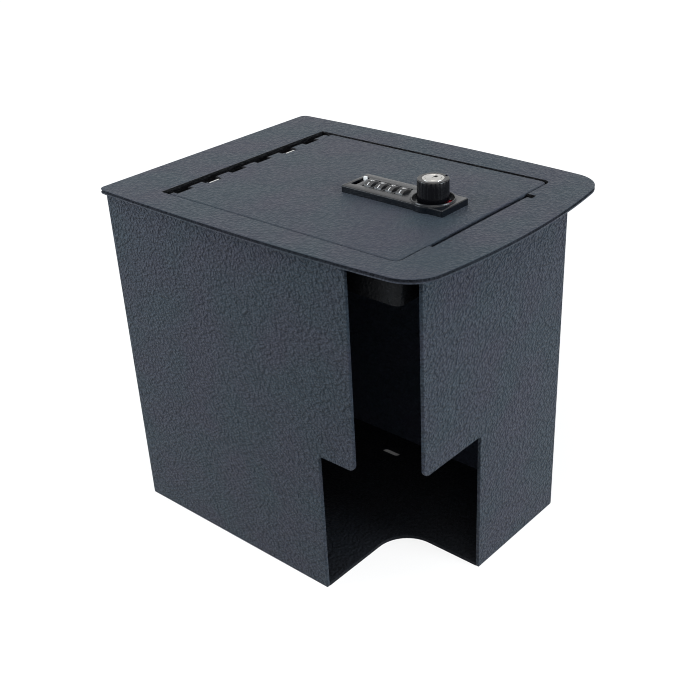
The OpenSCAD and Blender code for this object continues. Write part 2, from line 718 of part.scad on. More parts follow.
// Shaft under the knob, with a spiral for the locking bar and a square end for the cam
module spindle() {
    groove_z0 = bar_z - 0.4;
    groove_z1 = bar_z + bar_t + 0.4;
    color("gray") translate([lock_x, knob_y, 0]) difference() {
        union() {
            translate([0, 0, groove_z1]) cylinder(r = spindle_r, h = dish_z + seat - groove_z1);
            translate([0, 0, groove_z0 - 0.01]) linear_extrude(groove_z1 - groove_z0 + 0.02)
                polygon([for (a = [0 : 6 : 354]) spiral_r(a) * [cos(a), sin(a)]]);
            translate([0, 0, cam_top]) cylinder(r = spindle_r, h = groove_z0 - cam_top);
            translate([-square_w / 2, -square_w / 2, cam_top - cam_t + 0.2])
                cube([square_w, square_w, cam_t]);
        }
        translate([0, 0, cam_top - cam_t - cut]) cylinder(r = 2 + run, h = 9 + cut);
    }
}

// Red flag on the spindle that shows in the dish while the lock is open
module indicator_flag() {
    color("crimson") translate([lock_x, knob_y, flag_z]) linear_extrude(flag_t) {
        difference() {
            circle(r = spindle_r + 1.6);
            circle(r = spindle_r + run);
        }
        sector(spindle_r + 1, flag_r, red_angle - 36, red_angle + 36);
    }
}

// Latch cam: a tapered steel arm with a round tip and a square hole
module latch_cam() {
    color("silver") translate([lock_x, knob_y, cam_top - cam_t]) difference() {
        linear_extrude(cam_t) {
            circle(d = cam_w);
            polygon([[0, -cam_w / 2], [cam_reach - cam_tip_r, -cam_tip_r],
                [cam_reach - cam_tip_r, cam_tip_r], [0, cam_w / 2]]);
            translate([cam_reach - cam_tip_r, 0]) circle(r = cam_tip_r);
        }
        translate([-square_w / 2 - 0.1, -square_w / 2 - 0.1, -cut])
            cube([square_w + 0.2, square_w + 0.2, cam_t + 2 * cut]);
    }
}

// Screw and washer head that hold the cam on the spindle
module cam_screw() {
    z = cam_top - cam_t;
    color("silver") translate([lock_x, knob_y, 0]) difference() {
        union() {
            translate([0, 0, z - 2.6]) cylinder(r = 4, h = 1.8);
            translate([0, 0, z - 0.8]) cylinder(r = 6.4, h = 0.8);
            translate([0, 0, z - 0.1]) cylinder(r = 2, h = 8);
        }
        for (a = [0, 90]) rotate([0, 0, a])
            translate([-2, -0.4, z - 2.6 - cut]) cube([4, 0.8, 1 + cut]);
    }
}

// Nickel barrel pressed into the knob, with the key plug's bore
module key_barrel() {
    z1 = plate_top + knob_h + 0.3;
    color("lightgray") translate([lock_x, knob_y, 0]) difference() {
        rotate_extrude() polygon([[0, z1 - 12.2], [barrel_r, z1 - 12.2], [barrel_r, z1 - 0.4],
            [barrel_r - 0.4, z1], [0, z1]]);
        translate([0, 0, z1 - 11]) cylinder(r = plug_r + run, h = 11 + cut);
    }
}

// Key plug with its keyway
module key_plug() {
    z1 = plate_top + knob_h + 0.3;
    color("silver") translate([lock_x, knob_y, 0]) difference() {
        translate([0, 0, z1 - 10.9]) cylinder(r = plug_r, h = 10.9);
        translate([-2.8, -0.4, z1 - 8]) cube([6.6, 0.8, 8 + cut]);
        translate([0.3, -0.9, z1 - 8]) cube([3.1, 1.4, 8 + cut]);
    }
}

wall_wrap();
floor_plate();
top_frame();
lid_collar();
latch_keeper();
hinge_frame_leaf();
hinge_pin();
lid_plate();
hinge_lid_leaf();
hinge_clips();
lock_case();
case_cover();
lock_bracket();
bracket_screws();
wheel_axle();
code_wheel_1();
code_wheel_2();
code_wheel_3();
code_wheel_4();
detent_spring();
locking_bar();
code_slider();
lock_knob();
spindle();
indicator_flag();
latch_cam();
cam_screw();
key_barrel();
key_plug();
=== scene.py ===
# %% [markdown]
# # A safe for a vehicle's centre console
# The object is a folded steel tub with a flat frame on top. A lid lies flush in the frame, and
# a code lock with a knob stands on the lid. This lesson dresses the CAD model: it keeps every
# size and every moving body, and gives each surface its real shape and finish. All sizes are
# in millimetres while we work, and in metres in Blender.

import bmesh
import bpy
import numpy as np
from mathutils import Matrix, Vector
from mathutils.geometry import tessellate_polygon


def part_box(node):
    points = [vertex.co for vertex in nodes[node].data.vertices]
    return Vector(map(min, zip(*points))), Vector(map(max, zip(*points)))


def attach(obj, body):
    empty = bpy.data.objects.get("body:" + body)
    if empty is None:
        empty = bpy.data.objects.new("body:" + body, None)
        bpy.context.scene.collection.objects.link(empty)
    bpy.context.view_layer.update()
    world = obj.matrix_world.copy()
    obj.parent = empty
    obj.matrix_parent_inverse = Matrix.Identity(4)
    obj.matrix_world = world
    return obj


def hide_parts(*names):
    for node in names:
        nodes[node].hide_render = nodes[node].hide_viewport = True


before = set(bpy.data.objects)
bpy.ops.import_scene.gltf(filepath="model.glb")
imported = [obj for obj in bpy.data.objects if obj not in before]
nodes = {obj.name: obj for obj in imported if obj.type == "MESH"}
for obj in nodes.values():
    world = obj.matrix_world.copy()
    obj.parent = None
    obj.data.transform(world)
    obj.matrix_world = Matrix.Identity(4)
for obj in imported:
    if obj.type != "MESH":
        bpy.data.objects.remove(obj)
bpy.context.scene.view_settings.view_transform = "Standard"
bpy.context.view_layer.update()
MM = 0.001


def box_mm(node):
    """Lowest and highest corner of a CAD node in millimetres."""
    low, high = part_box(node)
    return np.array(low) / MM, np.array(high) / MM


# %% [markdown]
# ## The camera
# The photograph looks down on the corner between the left wall and the front. Its upright
# edges lean towards each other near the ground, and the whole picture is tilted three degrees.
# A camera is a place and three directions: back, right and up. Azimuth and elevation turn the
# back direction round the object, and the roll turns right and up about it. The place is given
# from the tub's middle, in tub depths. A small lens shift moves the picture without turning the
# camera, and a narrow pixel filter keeps the paint's grain crisp.

# %% Camera
AZIMUTH, ELEVATION, ROLL = np.radians([-47.296, 29.334, -3.021])
FOCAL_PIXELS, PICTURE, SENSOR = 1074.6, 700, 36.0
SHIFT_PIXELS, FILTER_PIXELS = (4, 20), 1.0
TUB_MIDDLE, TUB_DEPTH = np.array([-10.75, 8.75, 0.0]), 254.0
AWAY, ASIDE, ABOVE = 3.25558, -0.00686, 0.38114
NEAREST, FARTHEST = 0.01, 50.0

back = np.array([np.sin(AZIMUTH) * np.cos(ELEVATION),
                 -np.cos(AZIMUTH) * np.cos(ELEVATION), np.sin(ELEVATION)])
level_right = np.array([np.cos(AZIMUTH), np.sin(AZIMUTH), 0.0])
level_up = np.cross(back, level_right)
right = np.cos(ROLL) * level_right + np.sin(ROLL) * level_up
up = np.cos(ROLL) * level_up - np.sin(ROLL) * level_right
place = TUB_MIDDLE + TUB_DEPTH * (AWAY * back + ASIDE * right + ABOVE * up)

camera_data = bpy.data.cameras.new("camera")
camera_data.sensor_width = SENSOR
camera_data.lens = FOCAL_PIXELS * SENSOR / PICTURE
camera_data.shift_x, camera_data.shift_y = [pixels / PICTURE for pixels in SHIFT_PIXELS]
camera_data.clip_start, camera_data.clip_end = NEAREST, FARTHEST
bpy.context.scene.cycles.filter_width = FILTER_PIXELS
camera = bpy.data.objects.new("camera", camera_data)
bpy.context.scene.collection.objects.link(camera)
turn = Matrix(np.column_stack([right, up, back]).tolist()).to_4x4()
camera.matrix_world = Matrix.Translation((place * MM).tolist()) @ turn
bpy.context.scene.camera = camera
print("camera at", np.round(place), "mm, lens", round(camera_data.lens, 1), "mm")

# %% [markdown]
# ## Floor and light
# The safe stands on a white sweep. One warm soft panel hangs high above its near corner, so that
# its light only grazes the two near walls and draws every grain of their paint. A cool panel in
# front and a small one at the back left lift the walls' shadows, and the sky fills the rest. The
# picture's ground is plain white: Light Path tells the rays that look (camera, glossy,
# transmission) from those that carry light, and only the first see the white sky and the
# floor's extra glow. The floor keeps the soft shadow at the safe's foot. Right under the tub its
# glow fades out, so that the bolt slots in the tub's floor show dark ground.

# %% Material helpers
def new_material(name):
    """An empty node material, with its tree and shader. It keeps its name as a note."""
    material = bpy.data.materials.new(name)
    material.use_nodes = True
    material["finish"] = name
    tree = material.node_tree
    return material, tree, tree.nodes["Principled BSDF"]


def node(tree, kind, **values):
    """Add a node and set its unlinked sockets by name, or else its properties."""
    made = tree.nodes.new(kind)
    for key, value in values.items():
        socket = made.inputs.get(key.replace("_", " ").title())
        if socket:
            socket.default_value = value
        else:
            setattr(made, key, value)
    return made


def looking_ray(tree):
    """A socket that is 1 for the rays that look, and 0 for the rays that carry light."""
    path = tree.nodes.new("ShaderNodeLightPath")
    first = node(tree, "ShaderNodeMath", operation="MAXIMUM")
    second = node(tree, "ShaderNodeMath", operation="MAXIMUM")
    tree.links.new(path.outputs["Is Camera Ray"], first.inputs[0])
    tree.links.new(path.outputs["Is Glossy Ray"], first.inputs[1])
    tree.links.new(first.outputs[0], second.inputs[0])
    tree.links.new(path.outputs["Is Transmission Ray"], second.inputs[1])
    return second.outputs[0]


# %% Floor
FLOOR_REACH, FLOOR_Z, FLOOR_PAINT = 6.0, -0.0002, (0.24, 0.24, 0.242, 1)
NEAR_GLOW, FAR_GLOW, GLOW_FROM, GLOW_TO = 0.84, 1.0, 0.3, 1.3
UNDER_MIDDLE, UNDER_GLOW, UNDER_FROM, UNDER_TO = (-0.01, 0.0495, 0.0), 0.05, 0.079, 0.0855
floor_mesh = bpy.data.meshes.new("floor")
corners = np.array([[-1, -1, 0], [1, -1, 0], [1, 1, 0], [-1, 1, 0]]) * FLOOR_REACH
corners[:, 2] = FLOOR_Z
floor_mesh.from_pydata(corners.tolist(), [], [(0, 1, 2, 3)])
floor = bpy.data.objects.new("floor", floor_mesh)
bpy.context.scene.collection.objects.link(floor)
floor_paint, tree, shader = new_material("floor_white")
shader.inputs["Base Color"].default_value = FLOOR_PAINT
shader.inputs["Roughness"].default_value = 0.9
shader.inputs["Specular IOR Level"].default_value = 0.0
shader.inputs["Emission Color"].default_value = (1, 1, 1, 1)
spot = tree.nodes.new("ShaderNodeTexCoord").outputs["Object"]
away = node(tree, "ShaderNodeVectorMath", operation="LENGTH")
glow = node(tree, "ShaderNodeMapRange", interpolation_type="SMOOTHSTEP", from_min=GLOW_FROM,
            from_max=GLOW_TO, to_min=NEAR_GLOW, to_max=FAR_GLOW)
under = node(tree, "ShaderNodeMapRange", interpolation_type="SMOOTHSTEP", from_min=UNDER_FROM,
             from_max=UNDER_TO, to_min=UNDER_GLOW, to_max=1.0)
lit = node(tree, "ShaderNodeMath", operation="MULTIPLY")
shown = node(tree, "ShaderNodeMath", operation="MULTIPLY")
beneath = node(tree, "ShaderNodeVectorMath", operation="DISTANCE")
beneath.inputs[1].default_value = UNDER_MIDDLE
tree.links.new(spot, away.inputs[0])
tree.links.new(spot, beneath.inputs[0])
tree.links.new(away.outputs["Value"], glow.inputs["Value"])
tree.links.new(beneath.outputs["Value"], under.inputs["Value"])
tree.links.new(glow.outputs["Result"], lit.inputs[0])
tree.links.new(under.outputs["Result"], lit.inputs[1])
tree.links.new(lit.outputs[0], shown.inputs[0])
tree.links.new(looking_ray(tree), shown.inputs[1])
tree.links.new(shown.outputs[0], shader.inputs["Emission Strength"])
floor_mesh.materials.append(floor_paint)
print("floor glow:", NEAR_GLOW, "near,", FAR_GLOW, "far, times", UNDER_GLOW, "under the tub")

# %% Sky and lamps
SKY_LIGHT, SKY_COLOUR = 0.34, (0.80, 0.91, 1.0, 1)
world = bpy.data.worlds.new("studio")
bpy.context.scene.world = world
world.use_nodes = True
sky = world.node_tree
dim = sky.nodes["Background"]
dim.inputs["Color"].default_value = SKY_COLOUR
dim.inputs["Strength"].default_value = SKY_LIGHT
white = node(sky, "ShaderNodeBackground", color=(1, 1, 1, 1), strength=1.0)
mix = sky.nodes.new("ShaderNodeMixShader")
sky.links.new(looking_ray(sky), mix.inputs[0])
sky.links.new(dim.outputs[0], mix.inputs[1])
sky.links.new(white.outputs[0], mix.inputs[2])
sky.links.new(mix.outputs[0], sky.nodes["World Output"].inputs["Surface"])


def add_lamp(name, at, aim, size, watts, colour):
    """A square soft panel at a place in metres that faces a point."""
    lamp = bpy.data.lights.new(name, "AREA")
    lamp.shape, lamp.size, lamp.energy, lamp.color = "SQUARE", size, watts, colour
    panel = bpy.data.objects.new(name, lamp)
    bpy.context.scene.collection.objects.link(panel)
    away = np.array(at) - np.array(aim)
    side = np.cross([0.0, 1.0, 0.01], away)
    side /= np.linalg.norm(side)
    away /= np.linalg.norm(away)
    turn = Matrix(np.column_stack([side, np.cross(away, side), away]).tolist()).to_4x4()
    panel.matrix_world = Matrix.Translation(at) @ turn
    print(f"{name}: {watts} W, {size} m wide")


MIDDLE, LEFT_WALL = (0.0, 0.0, 0.12), (-0.1, 0.0, 0.2)
WARM, COOL = (1.0, 0.96, 0.90), (0.82, 0.92, 1.0)
add_lamp("overhead panel", (-0.42, -0.45, 1.35), MIDDLE, 1.1, 10.6, WARM)
add_lamp("front panel", (0.3, -1.45, 0.6), MIDDLE, 0.6, 15.0, COOL)
add_lamp("left panel", (-0.65, 0.55, 0.50), LEFT_WALL, 0.4, 4.6, COOL)

# %% [markdown]
# ## Powder coat
# The steel wears a wrinkle powder coat: a slate paint that shrinks into fine soft bumps, a
# little over two millimetres apart. It could be modelled, but bumps in the shader cost no faces
# and run on over every edge. They are smooth Voronoi cells, which are round and crowded, with
# noise over them, and a little wider than high. The same height paints shade into the hollows,
# and a slow noise drifts between two colours. One function makes every version of the coat: the
# walls' own; a calm one for the top plates, with less painted shade in its hollows and its colour
# darkened all over as painted shade; a paler one for the inside, as painted light; and dark ones
# for the floor plate, the hinge band (black paint deepened by painted shade) and the groove in
# the frame's edge (painted shade).

# %% Powder coat material
GRAIN, DRIFT = 420.0, 26.0  # bumps, and changes of colour, in one metre
GRAIN_STRETCH = (0.88, 1.0, 1.1)
CELL_SHARE, VALLEY, CREST = -0.9, -0.25, 0.45
RELIEF = 0.0028


def grain_coat(name, colours, hollow_shade, bump, roughness, specular):
    """Wrinkled paint: height = noise(2 grain) - 0.9 x distance to a cell's middle(grain).

    Colour x hollow_shade in the valleys, a painted shade, and x 1 on the crests; roughness falls
    with height."""
    material, tree, shader = new_material(name)
    link = tree.links.new
    spot = tree.nodes.new("ShaderNodeTexCoord").outputs["Object"]
    squeeze = node(tree, "ShaderNodeVectorMath", operation="MULTIPLY")
    squeeze.inputs[1].default_value = GRAIN_STRETCH
    link(spot, squeeze.inputs[0])
    place = squeeze.outputs[0]
    wrinkles = node(tree, "ShaderNodeTexVoronoi", feature="SMOOTH_F1", scale=GRAIN,
                    smoothness=0.3)
    fine = node(tree, "ShaderNodeTexNoise", scale=GRAIN * 2, detail=1.0, roughness=0.5)
    drift = node(tree, "ShaderNodeTexNoise", scale=DRIFT, detail=1.0, roughness=0.5)
    for texture in (wrinkles, fine, drift):
        link(place, texture.inputs["Vector"])
    height = node(tree, "ShaderNodeMath", operation="MULTIPLY_ADD")
    height.inputs[1].default_value = CELL_SHARE
    link(wrinkles.outputs["Distance"], height.inputs[0])
    link(fine.outputs["Fac"], height.inputs[2])
    slow = node(tree, "ShaderNodeMapRange", from_min=0.35, from_max=0.65)
    link(drift.outputs["Fac"], slow.inputs["Value"])
    tint = node(tree, "ShaderNodeMix", data_type="RGBA")
    tint.inputs[6].default_value = (*colours[0], 1)
    tint.inputs[7].default_value = (*colours[1], 1)
    link(slow.outputs["Result"], tint.inputs[0])
    shade = node(tree, "ShaderNodeMapRange", interpolation_type="SMOOTHSTEP", from_min=VALLEY,
                 from_max=CREST, to_min=hollow_shade, to_max=1.0)
    link(height.outputs[0], shade.inputs["Value"])
    paint = node(tree, "ShaderNodeVectorMath", operation="SCALE")
    link(tint.outputs[2], paint.inputs[0])
    link(shade.outputs["Result"], paint.inputs["Scale"])
    link(paint.outputs[0], shader.inputs["Base Color"])
    rough = node(tree, "ShaderNodeMapRange", from_min=VALLEY, from_max=CREST,
                 to_min=roughness + 0.1, to_max=roughness - 0.08)
    link(height.outputs[0], rough.inputs["Value"])
    link(rough.outputs["Result"], shader.inputs["Roughness"])
    relief = node(tree, "ShaderNodeBump", strength=bump, distance=RELIEF)
    link(height.outputs[0], relief.inputs["Height"])
    link(relief.outputs["Normal"], shader.inputs["Normal"])
    shader.inputs["Specular IOR Level"].default_value = specular
    return material


SLATES = [(0.0465, 0.0660, 0.0885), (0.0560, 0.0625, 0.0905)]
# The calm colours are the slate darkened all over as painted shade, for the top plates that catch
# the most light.
CALMS_SHADED = [(0.0346, 0.0485, 0.0630), (0.0420, 0.0462, 0.0645)]
# The inside colours are paler than the slate outside: painted light that lifts the tub's shaded
# inside.
INNERS_LIT = [(0.062, 0.078, 0.102), (0.070, 0.076, 0.104)]
# The near-black colours are the hinge's black paint, darkened further as painted shade.
BLACKS_AND_SHADE = [(0.0045, 0.0050, 0.0062), (0.0050, 0.0050, 0.0060)]
DEEPS = [(0.0155, 0.0180, 0.0230), (0.0170, 0.0180, 0.0225)]
# The groove colours are the slate darkened as painted shade.
GROOVE_SHADES = [(0.0240, 0.0290, 0.0370), (0.0270, 0.0285, 0.0375)]
# The number after the colours is the share of colour left in the hollows: painted shade.
slate_coat = grain_coat("powder_coat", SLATES, 0.60, 1.0, 0.48, specular=0.19)
calm_shaded_coat = grain_coat("powder_coat_calm_shaded", CALMS_SHADED, 0.90, 0.35, 0.48, specular=0.19)
inside_lit_coat = grain_coat("inside_slate_lit", INNERS_LIT, 0.8, 0.6, 0.7, specular=0.1)
black_and_shade_coat = grain_coat("hinge_black", BLACKS_AND_SHADE, 0.8, 0.35, 0.5, specular=0.12)
deep_coat = grain_coat("deep_slate", DEEPS, 0.8, 0.6, 0.7, specular=0.1)
groove_shade_coat = grain_coat("groove_slate_shade", GROOVE_SHADES, 0.8, 0.6, 0.7, specular=0.1)
print("coats:", [coat.name for coat in (slate_coat, calm_shaded_coat, inside_lit_coat, black_and_shade_coat,
                                        deep_coat, groove_shade_coat)])

# %% [markdown]
# ## Lock finishes
# The lock is die-cast and painted satin black, with a very fine sand. The code wheels are
# black plastic with white figures, the slider is white plastic, and the flag is red. The key
# barrel is bright nickel, the clips are bare steel, and the small parts are duller steel and
# zinc. No real surface is even, so one noise drifts the colour of each, and a finer one its
# roughness and height.

# %% Cast, plastic and metal materials
CLOUD, SAND_DEPTH = 90.0, 0.0002


def fine_finish(name, colour, metal, roughness, grain, bump, spread=0.15, specular=0.5):
    """A smooth finish: colour and roughness run from (1 - spread) to (1 + spread) by noise."""
    material, tree, shader = new_material(name)
    link = tree.links.new
    place = tree.nodes.new("ShaderNodeTexCoord").outputs["Object"]
    sand = node(tree, "ShaderNodeTexNoise", scale=grain, detail=3.0, roughness=0.6)
    cloud = node(tree, "ShaderNodeTexNoise", scale=CLOUD, detail=3.0, roughness=0.6)
    link(place, sand.inputs["Vector"])
    link(place, cloud.inputs["Vector"])
    paint = node(tree, "ShaderNodeMix", data_type="RGBA")
    paint.inputs[6].default_value = (*[c * (1 - spread) for c in colour], 1)
    paint.inputs[7].default_value = (*[min(1, c * (1 + spread)) for c in colour], 1)
    link(cloud.outputs["Fac"], paint.inputs[0])
    link(paint.outputs[2], shader.inputs["Base Color"])
    rough = node(tree, "ShaderNodeMapRange")
    rough.inputs["To Min"].default_value = roughness * (1 - spread)
    rough.inputs["To Max"].default_value = roughness * (1 + spread)
    link(sand.outputs["Fac"], rough.inputs["Value"])
    link(rough.outputs["Result"], shader.inputs["Roughness"])
    relief = node(tree, "ShaderNodeBump", strength=bump, distance=SAND_DEPTH)
    link(sand.outputs["Fac"], relief.inputs["Height"])
    link(relief.outputs["Normal"], shader.inputs["Normal"])
    shader.inputs["Metallic"].default_value = metal
    shader.inputs["Specular IOR Level"].default_value = specular
    return material


cast_black = fine_finish("lock_black", (0.0015, 0.0030, 0.0055), 0.0, 0.23, 2600, 0.25,
                         specular=0.36)
knob_black = fine_finish("knob_black", (0.0025, 0.0025, 0.0035), 0.0, 0.22, 1800, 0.12,
                         specular=0.34)
wheel_black = fine_finish("wheel_black", (0.005, 0.0055, 0.007), 0.0, 0.42, 1800, 0.15,
                          specular=0.8)
figure_white = fine_finish("figure_white", (0.93, 0.93, 0.93), 0.0, 0.5, 1500, 0.1, 0.04)
slider_white = fine_finish("slider_white", (0.95, 0.95, 0.94), 0.0, 0.35, 1500, 0.1, 0.04)
flag_red = fine_finish("flag_red", (0.50, 0.010, 0.022), 0.0, 0.35, 1500, 0.1, 0.08)
nickel = fine_finish("nickel", (0.51, 0.50, 0.48), 1.0, 0.22, 1400, 0.1, 0.08)
bright_steel = fine_finish("bright_steel", (0.74, 0.74, 0.74), 1.0, 0.2, 900, 0.15, 0.1)
steel = fine_finish("steel", (0.46, 0.47, 0.49), 1.0, 0.32, 900, 0.15, 0.15)
zinc = fine_finish("zinc", (0.45, 0.46, 0.47), 1.0, 0.38, 700, 0.2, 0.2)
print("lock finishes:", [finish.name for finish in (cast_black, knob_black, wheel_black,
                                                    figure_white, slider_white, flag_red,
                                                    nickel, bright_steel, steel, zinc)])

# %% [markdown]
# ## The pieces that keep their shape
# Sixteen CAD nodes have their true shape already. Most are hidden: the hinge's leaves and pin,
# the collar and keeper under the frame, and the lock's bracket, bar, spring, spindle and cam.
# They could be built again here, but that would add nothing to see, so they are only painted.

# %% Paint the CAD nodes that stay
def paint(finish, *names):
    """Give one finish to CAD nodes."""
    for name in names:
        mesh = nodes[name].data
        mesh.materials.clear()
        mesh.materials.append(finish)
    print(f"{finish.name}: {', '.join(names)}")


# The keeper wears the inside coat, paler as painted light.
paint(inside_lit_coat, "latch_keeper")
paint(deep_coat, "floor_plate")
# The collar and the hinge's leaves wear black paint, darkened further as painted shade.
paint(black_and_shade_coat, "lid_collar", "hinge_frame_leaf", "hinge_lid_leaf")
paint(steel, "hinge_pin", "wheel_axle", "detent_spring", "locking_bar", "spindle",
      "bracket_screws", "cam_screw")
paint(zinc, "lock_bracket", "latch_cam", "case_cover")
paint(flag_red, "indicator_flag")

# %% [markdown]
# ## Shapes from numbers
# Most pieces here are plates: an outline with holes, carried up through an edge profile and
# closed by two flat faces. The rest are turned: a profile swept round an axis, some with grooves
# for the fingers. All are grids of points worked out as whole arrays, row by row, and
# neighbouring points make the quads. Arrays are shorter than modelling by hand, and a size can
# still be changed in one place.

# %% Outlines
def arc(middle, radius, start, stop, steps=8):
    """Points middle + radius (cos a, sin a), with a running from start to stop in degrees."""
    a = np.radians(np.linspace(start, stop, steps + 1))
    return np.asarray(middle) + radius * np.stack([np.cos(a), np.sin(a)], axis=1)


def loop(*parts):
    """Point lists joined into one closed outline, without points that repeat."""
    points = np.concatenate([np.atleast_2d(np.asarray(part, float)) for part in parts])
    apart = np.linalg.norm(points - np.roll(points, 1, axis=0), axis=1) > 0.005
    return points[apart]


def round_box(middle, half_x, half_y, radius, steps=5):
    """Anticlockwise rectangle round a middle, with round corners."""
    x, y = half_x - radius, half_y - radius
    corners = [((-x, -y), 180), ((x, -y), 270), ((x, y), 0), ((-x, y), 90)]
    return loop(*[arc(np.array(middle) + at, radius, turn, turn + 90, steps)
                  for at, turn in corners])


def hole(outline):
    """The same outline run clockwise, so that its left side is the material round it."""
    return outline[::-1]


def inset(outline, distance):
    """Outline moved to its left: p + d (n + m) / (1 + n.m), n and m its edges' left normals."""
    ahead = np.roll(outline, -1, axis=0) - outline
    ahead /= np.linalg.norm(ahead, axis=1, keepdims=True)
    n = np.stack([-ahead[:, 1], ahead[:, 0]], axis=1)
    m = np.roll(n, 1, axis=0)
    return outline + distance * (n + m) / (1 + (n * m).sum(axis=1, keepdims=True))


# %% Edges and grids
def soft_edge(z0, z1, soft, steps=3):
    """Rows (inset, height): quarter circle of radius soft, upright, quarter circle."""
    a = np.linspace(0, np.pi / 2, steps + 1)
    foot = np.stack([soft * (1 - np.sin(a)), z0 + soft * (1 - np.cos(a))], axis=1)
    brow = np.stack([soft * (1 - np.cos(a)), z1 - soft * (1 - np.sin(a))], axis=1)
    return np.concatenate([foot, brow])


def grid_faces(rows, columns, round_rows=False, round_columns=True):
    """Quads of a grid whose point number is row x columns + column."""
    r = np.arange(rows if round_rows else rows - 1)[:, None]
    c = np.arange(columns if round_columns else columns - 1)[None, :]
    r2, c2 = (r + 1) % rows, (c + 1) % columns
    quads = np.stack([r * columns + c, r * columns + c2, r2 * columns + c2,
                      r2 * columns + c], axis=-1)
    return quads.reshape(-1, 4)


# %% Plates
def cap(points, rings, upwards):
    """Triangles that fill flat rings of point numbers, all facing up or all facing down."""
    numbers = np.concatenate(rings)
    tris = np.array(tessellate_polygon([points[ring].tolist() for ring in rings]))
    tris = numbers[tris]
    a, b, c = (points[tris[:, i], :2] for i in range(3))
    area = (b - a)[:, 0] * (c - a)[:, 1] - (b - a)[:, 1] * (c - a)[:, 0]
    wrong = (area > 0) != upwards
    tris[wrong] = tris[wrong][:, ::-1]
    return tris[np.abs(area) > 1e-9]


def plate(outlines, edges):
    """Solid between flat faces. Each outline carries rows of (inset, height) up its side."""
    points, sides, bottom, top, count = [], [], [], [], 0
    for outline, rows in zip(outlines, edges):
        n = len(outline)
        points += [np.column_stack([inset(outline, d), np.full(n, z)]) for d, z in rows]
        sides.append(grid_faces(len(rows), n) + count)
        bottom.append(count + np.arange(n))
        count += len(rows) * n
        top.append(count - n + np.arange(n))
    points = np.concatenate(points)
    return points, [(np.concatenate(sides), True), (cap(points, bottom, False), False),
                    (cap(points, top, True), False)]


# %% Turned and grooved shapes
TURNED_COLUMNS = 96


def turned(profile, middle):
    """Rows of (radius, height) swept round a vertical axis; the first row meets the last."""
    a = np.arange(TURNED_COLUMNS) * 2 * np.pi / TURNED_COLUMNS
    r, z = np.asarray(profile, float).T[:, :, None]
    x, y, z = r * np.cos(a), r * np.sin(a), z + 0 * a
    points = np.stack([x + middle[0], y + middle[1], z], axis=-1).reshape(-1, 3)
    return points, [(grid_faces(len(profile), TURNED_COLUMNS, round_rows=True), True)]


def grooved(theta, radius, count, groove_r, out, start):
    """Radius at angle theta less the cut of the nearest of count grooves.

    A groove is a circle of radius g whose middle lies at R = radius + out, half a share after
    start, so its near side is at R cos(off) - sqrt(g2 - (R sin(off))2)."""
    share = 2 * np.pi / count
    off = (theta - start) % share - share / 2
    reach = np.sqrt(np.clip(groove_r**2 - ((radius + out) * np.sin(off))**2, 0, None))
    cut = np.where(reach > 0, (radius + out) * np.cos(off) - reach, radius)
    return np.minimum(cut, radius)


def together(*shapes):
    """Several shapes as one, their point numbers run on."""
    points, groups, count = [], [], 0
    for own, faces in shapes:
        points.append(own)
        groups += [(f + count, smooth) for f, smooth in faces]
        count += len(own)
    return np.concatenate(points), groups


def make_piece(name, shape, finish, body, *stands_for, crease=28):
    """Mesh from points in mm and face groups; it rides on a body and stands for CAD nodes."""
    points, groups = shape
    mesh = bpy.data.meshes.new(name)
    faces = [face for group, _ in groups for face in group.tolist()]
    mesh.from_pydata((points * MM).tolist(), [], faces)
    smooth = np.concatenate([np.full(len(group), flag) for group, flag in groups])
    mesh.polygons.foreach_set("use_smooth", smooth)
    mesh.materials.append(finish)
    mesh.set_sharp_from_angle(angle=np.radians(crease))
    mesh.update()
    piece = bpy.data.objects.new(name, mesh)
    bpy.context.scene.collection.objects.link(piece)
    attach(piece, body)
    if stands_for:
        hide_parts(*stands_for)
    print(f"{name}: {len(points)} points, {len(faces)} faces")
    return piece


def refinish(piece, number_of_face, *finishes):
    """Add finishes 1, 2 ... to a piece; each face wears the finish of its number, 0 the first."""
    for finish in finishes:
        piece.data.materials.append(finish)
    piece.data.polygons.foreach_set("material_index", number_of_face)
    print(f"{piece.name}: {np.count_nonzero(number_of_face)} faces in another finish")


# %% [markdown]
# ## The top frame
# The frame is a flat plate with bowed sides. Its outline is made of arcs that meet without a
# kink: a long front curve, a tight front corner, and two very long side curves. The opening in
# it has a shallow relief along its front edge, and a small pry notch at the relief's right end.
# Paint rounds the cut edges, so they get a soft radius. The outer edge is rolled: a groove
# runs round it between the top's brow and a lower lip. A bevel couldn't make that groove, so
# the edge is a list of rows. The groove has a darker coat, painted shade for the dark line it
# shows, and the opening's inner wall is painted near-black as shade, like the hinge band behind
# it.

# %% Frame outline
frame_low, frame_high = box_mm("top_frame")
FRAME_W, FRAME_D = 207.5, 277.5
FRONT_R, CORNER_R, SIDE_FRONT_R, SIDE_BACK_R, BACK_CORNER_R = 520.0, 24.0, 1750.0, 3200.0, 5.0
BULGE_Y = 16.0


def bearing(a, b):
    """Direction from a to b in degrees."""
    return np.degrees(np.arctan2(b[1] - a[1], b[0] - a[0]))


def meeting(p, rp, q, rq):
    """Right-hand crossing of circles: a along pq, h beside it, with h2 = rp2 - a2."""
    gap = np.linalg.norm(q - p)
    along = (rp**2 - rq**2 + gap**2) / (2 * gap)
    aside = np.sqrt(rp**2 - along**2)
    e = (q - p) / gap
    return p + along * e + aside * np.array([e[1], -e[0]])


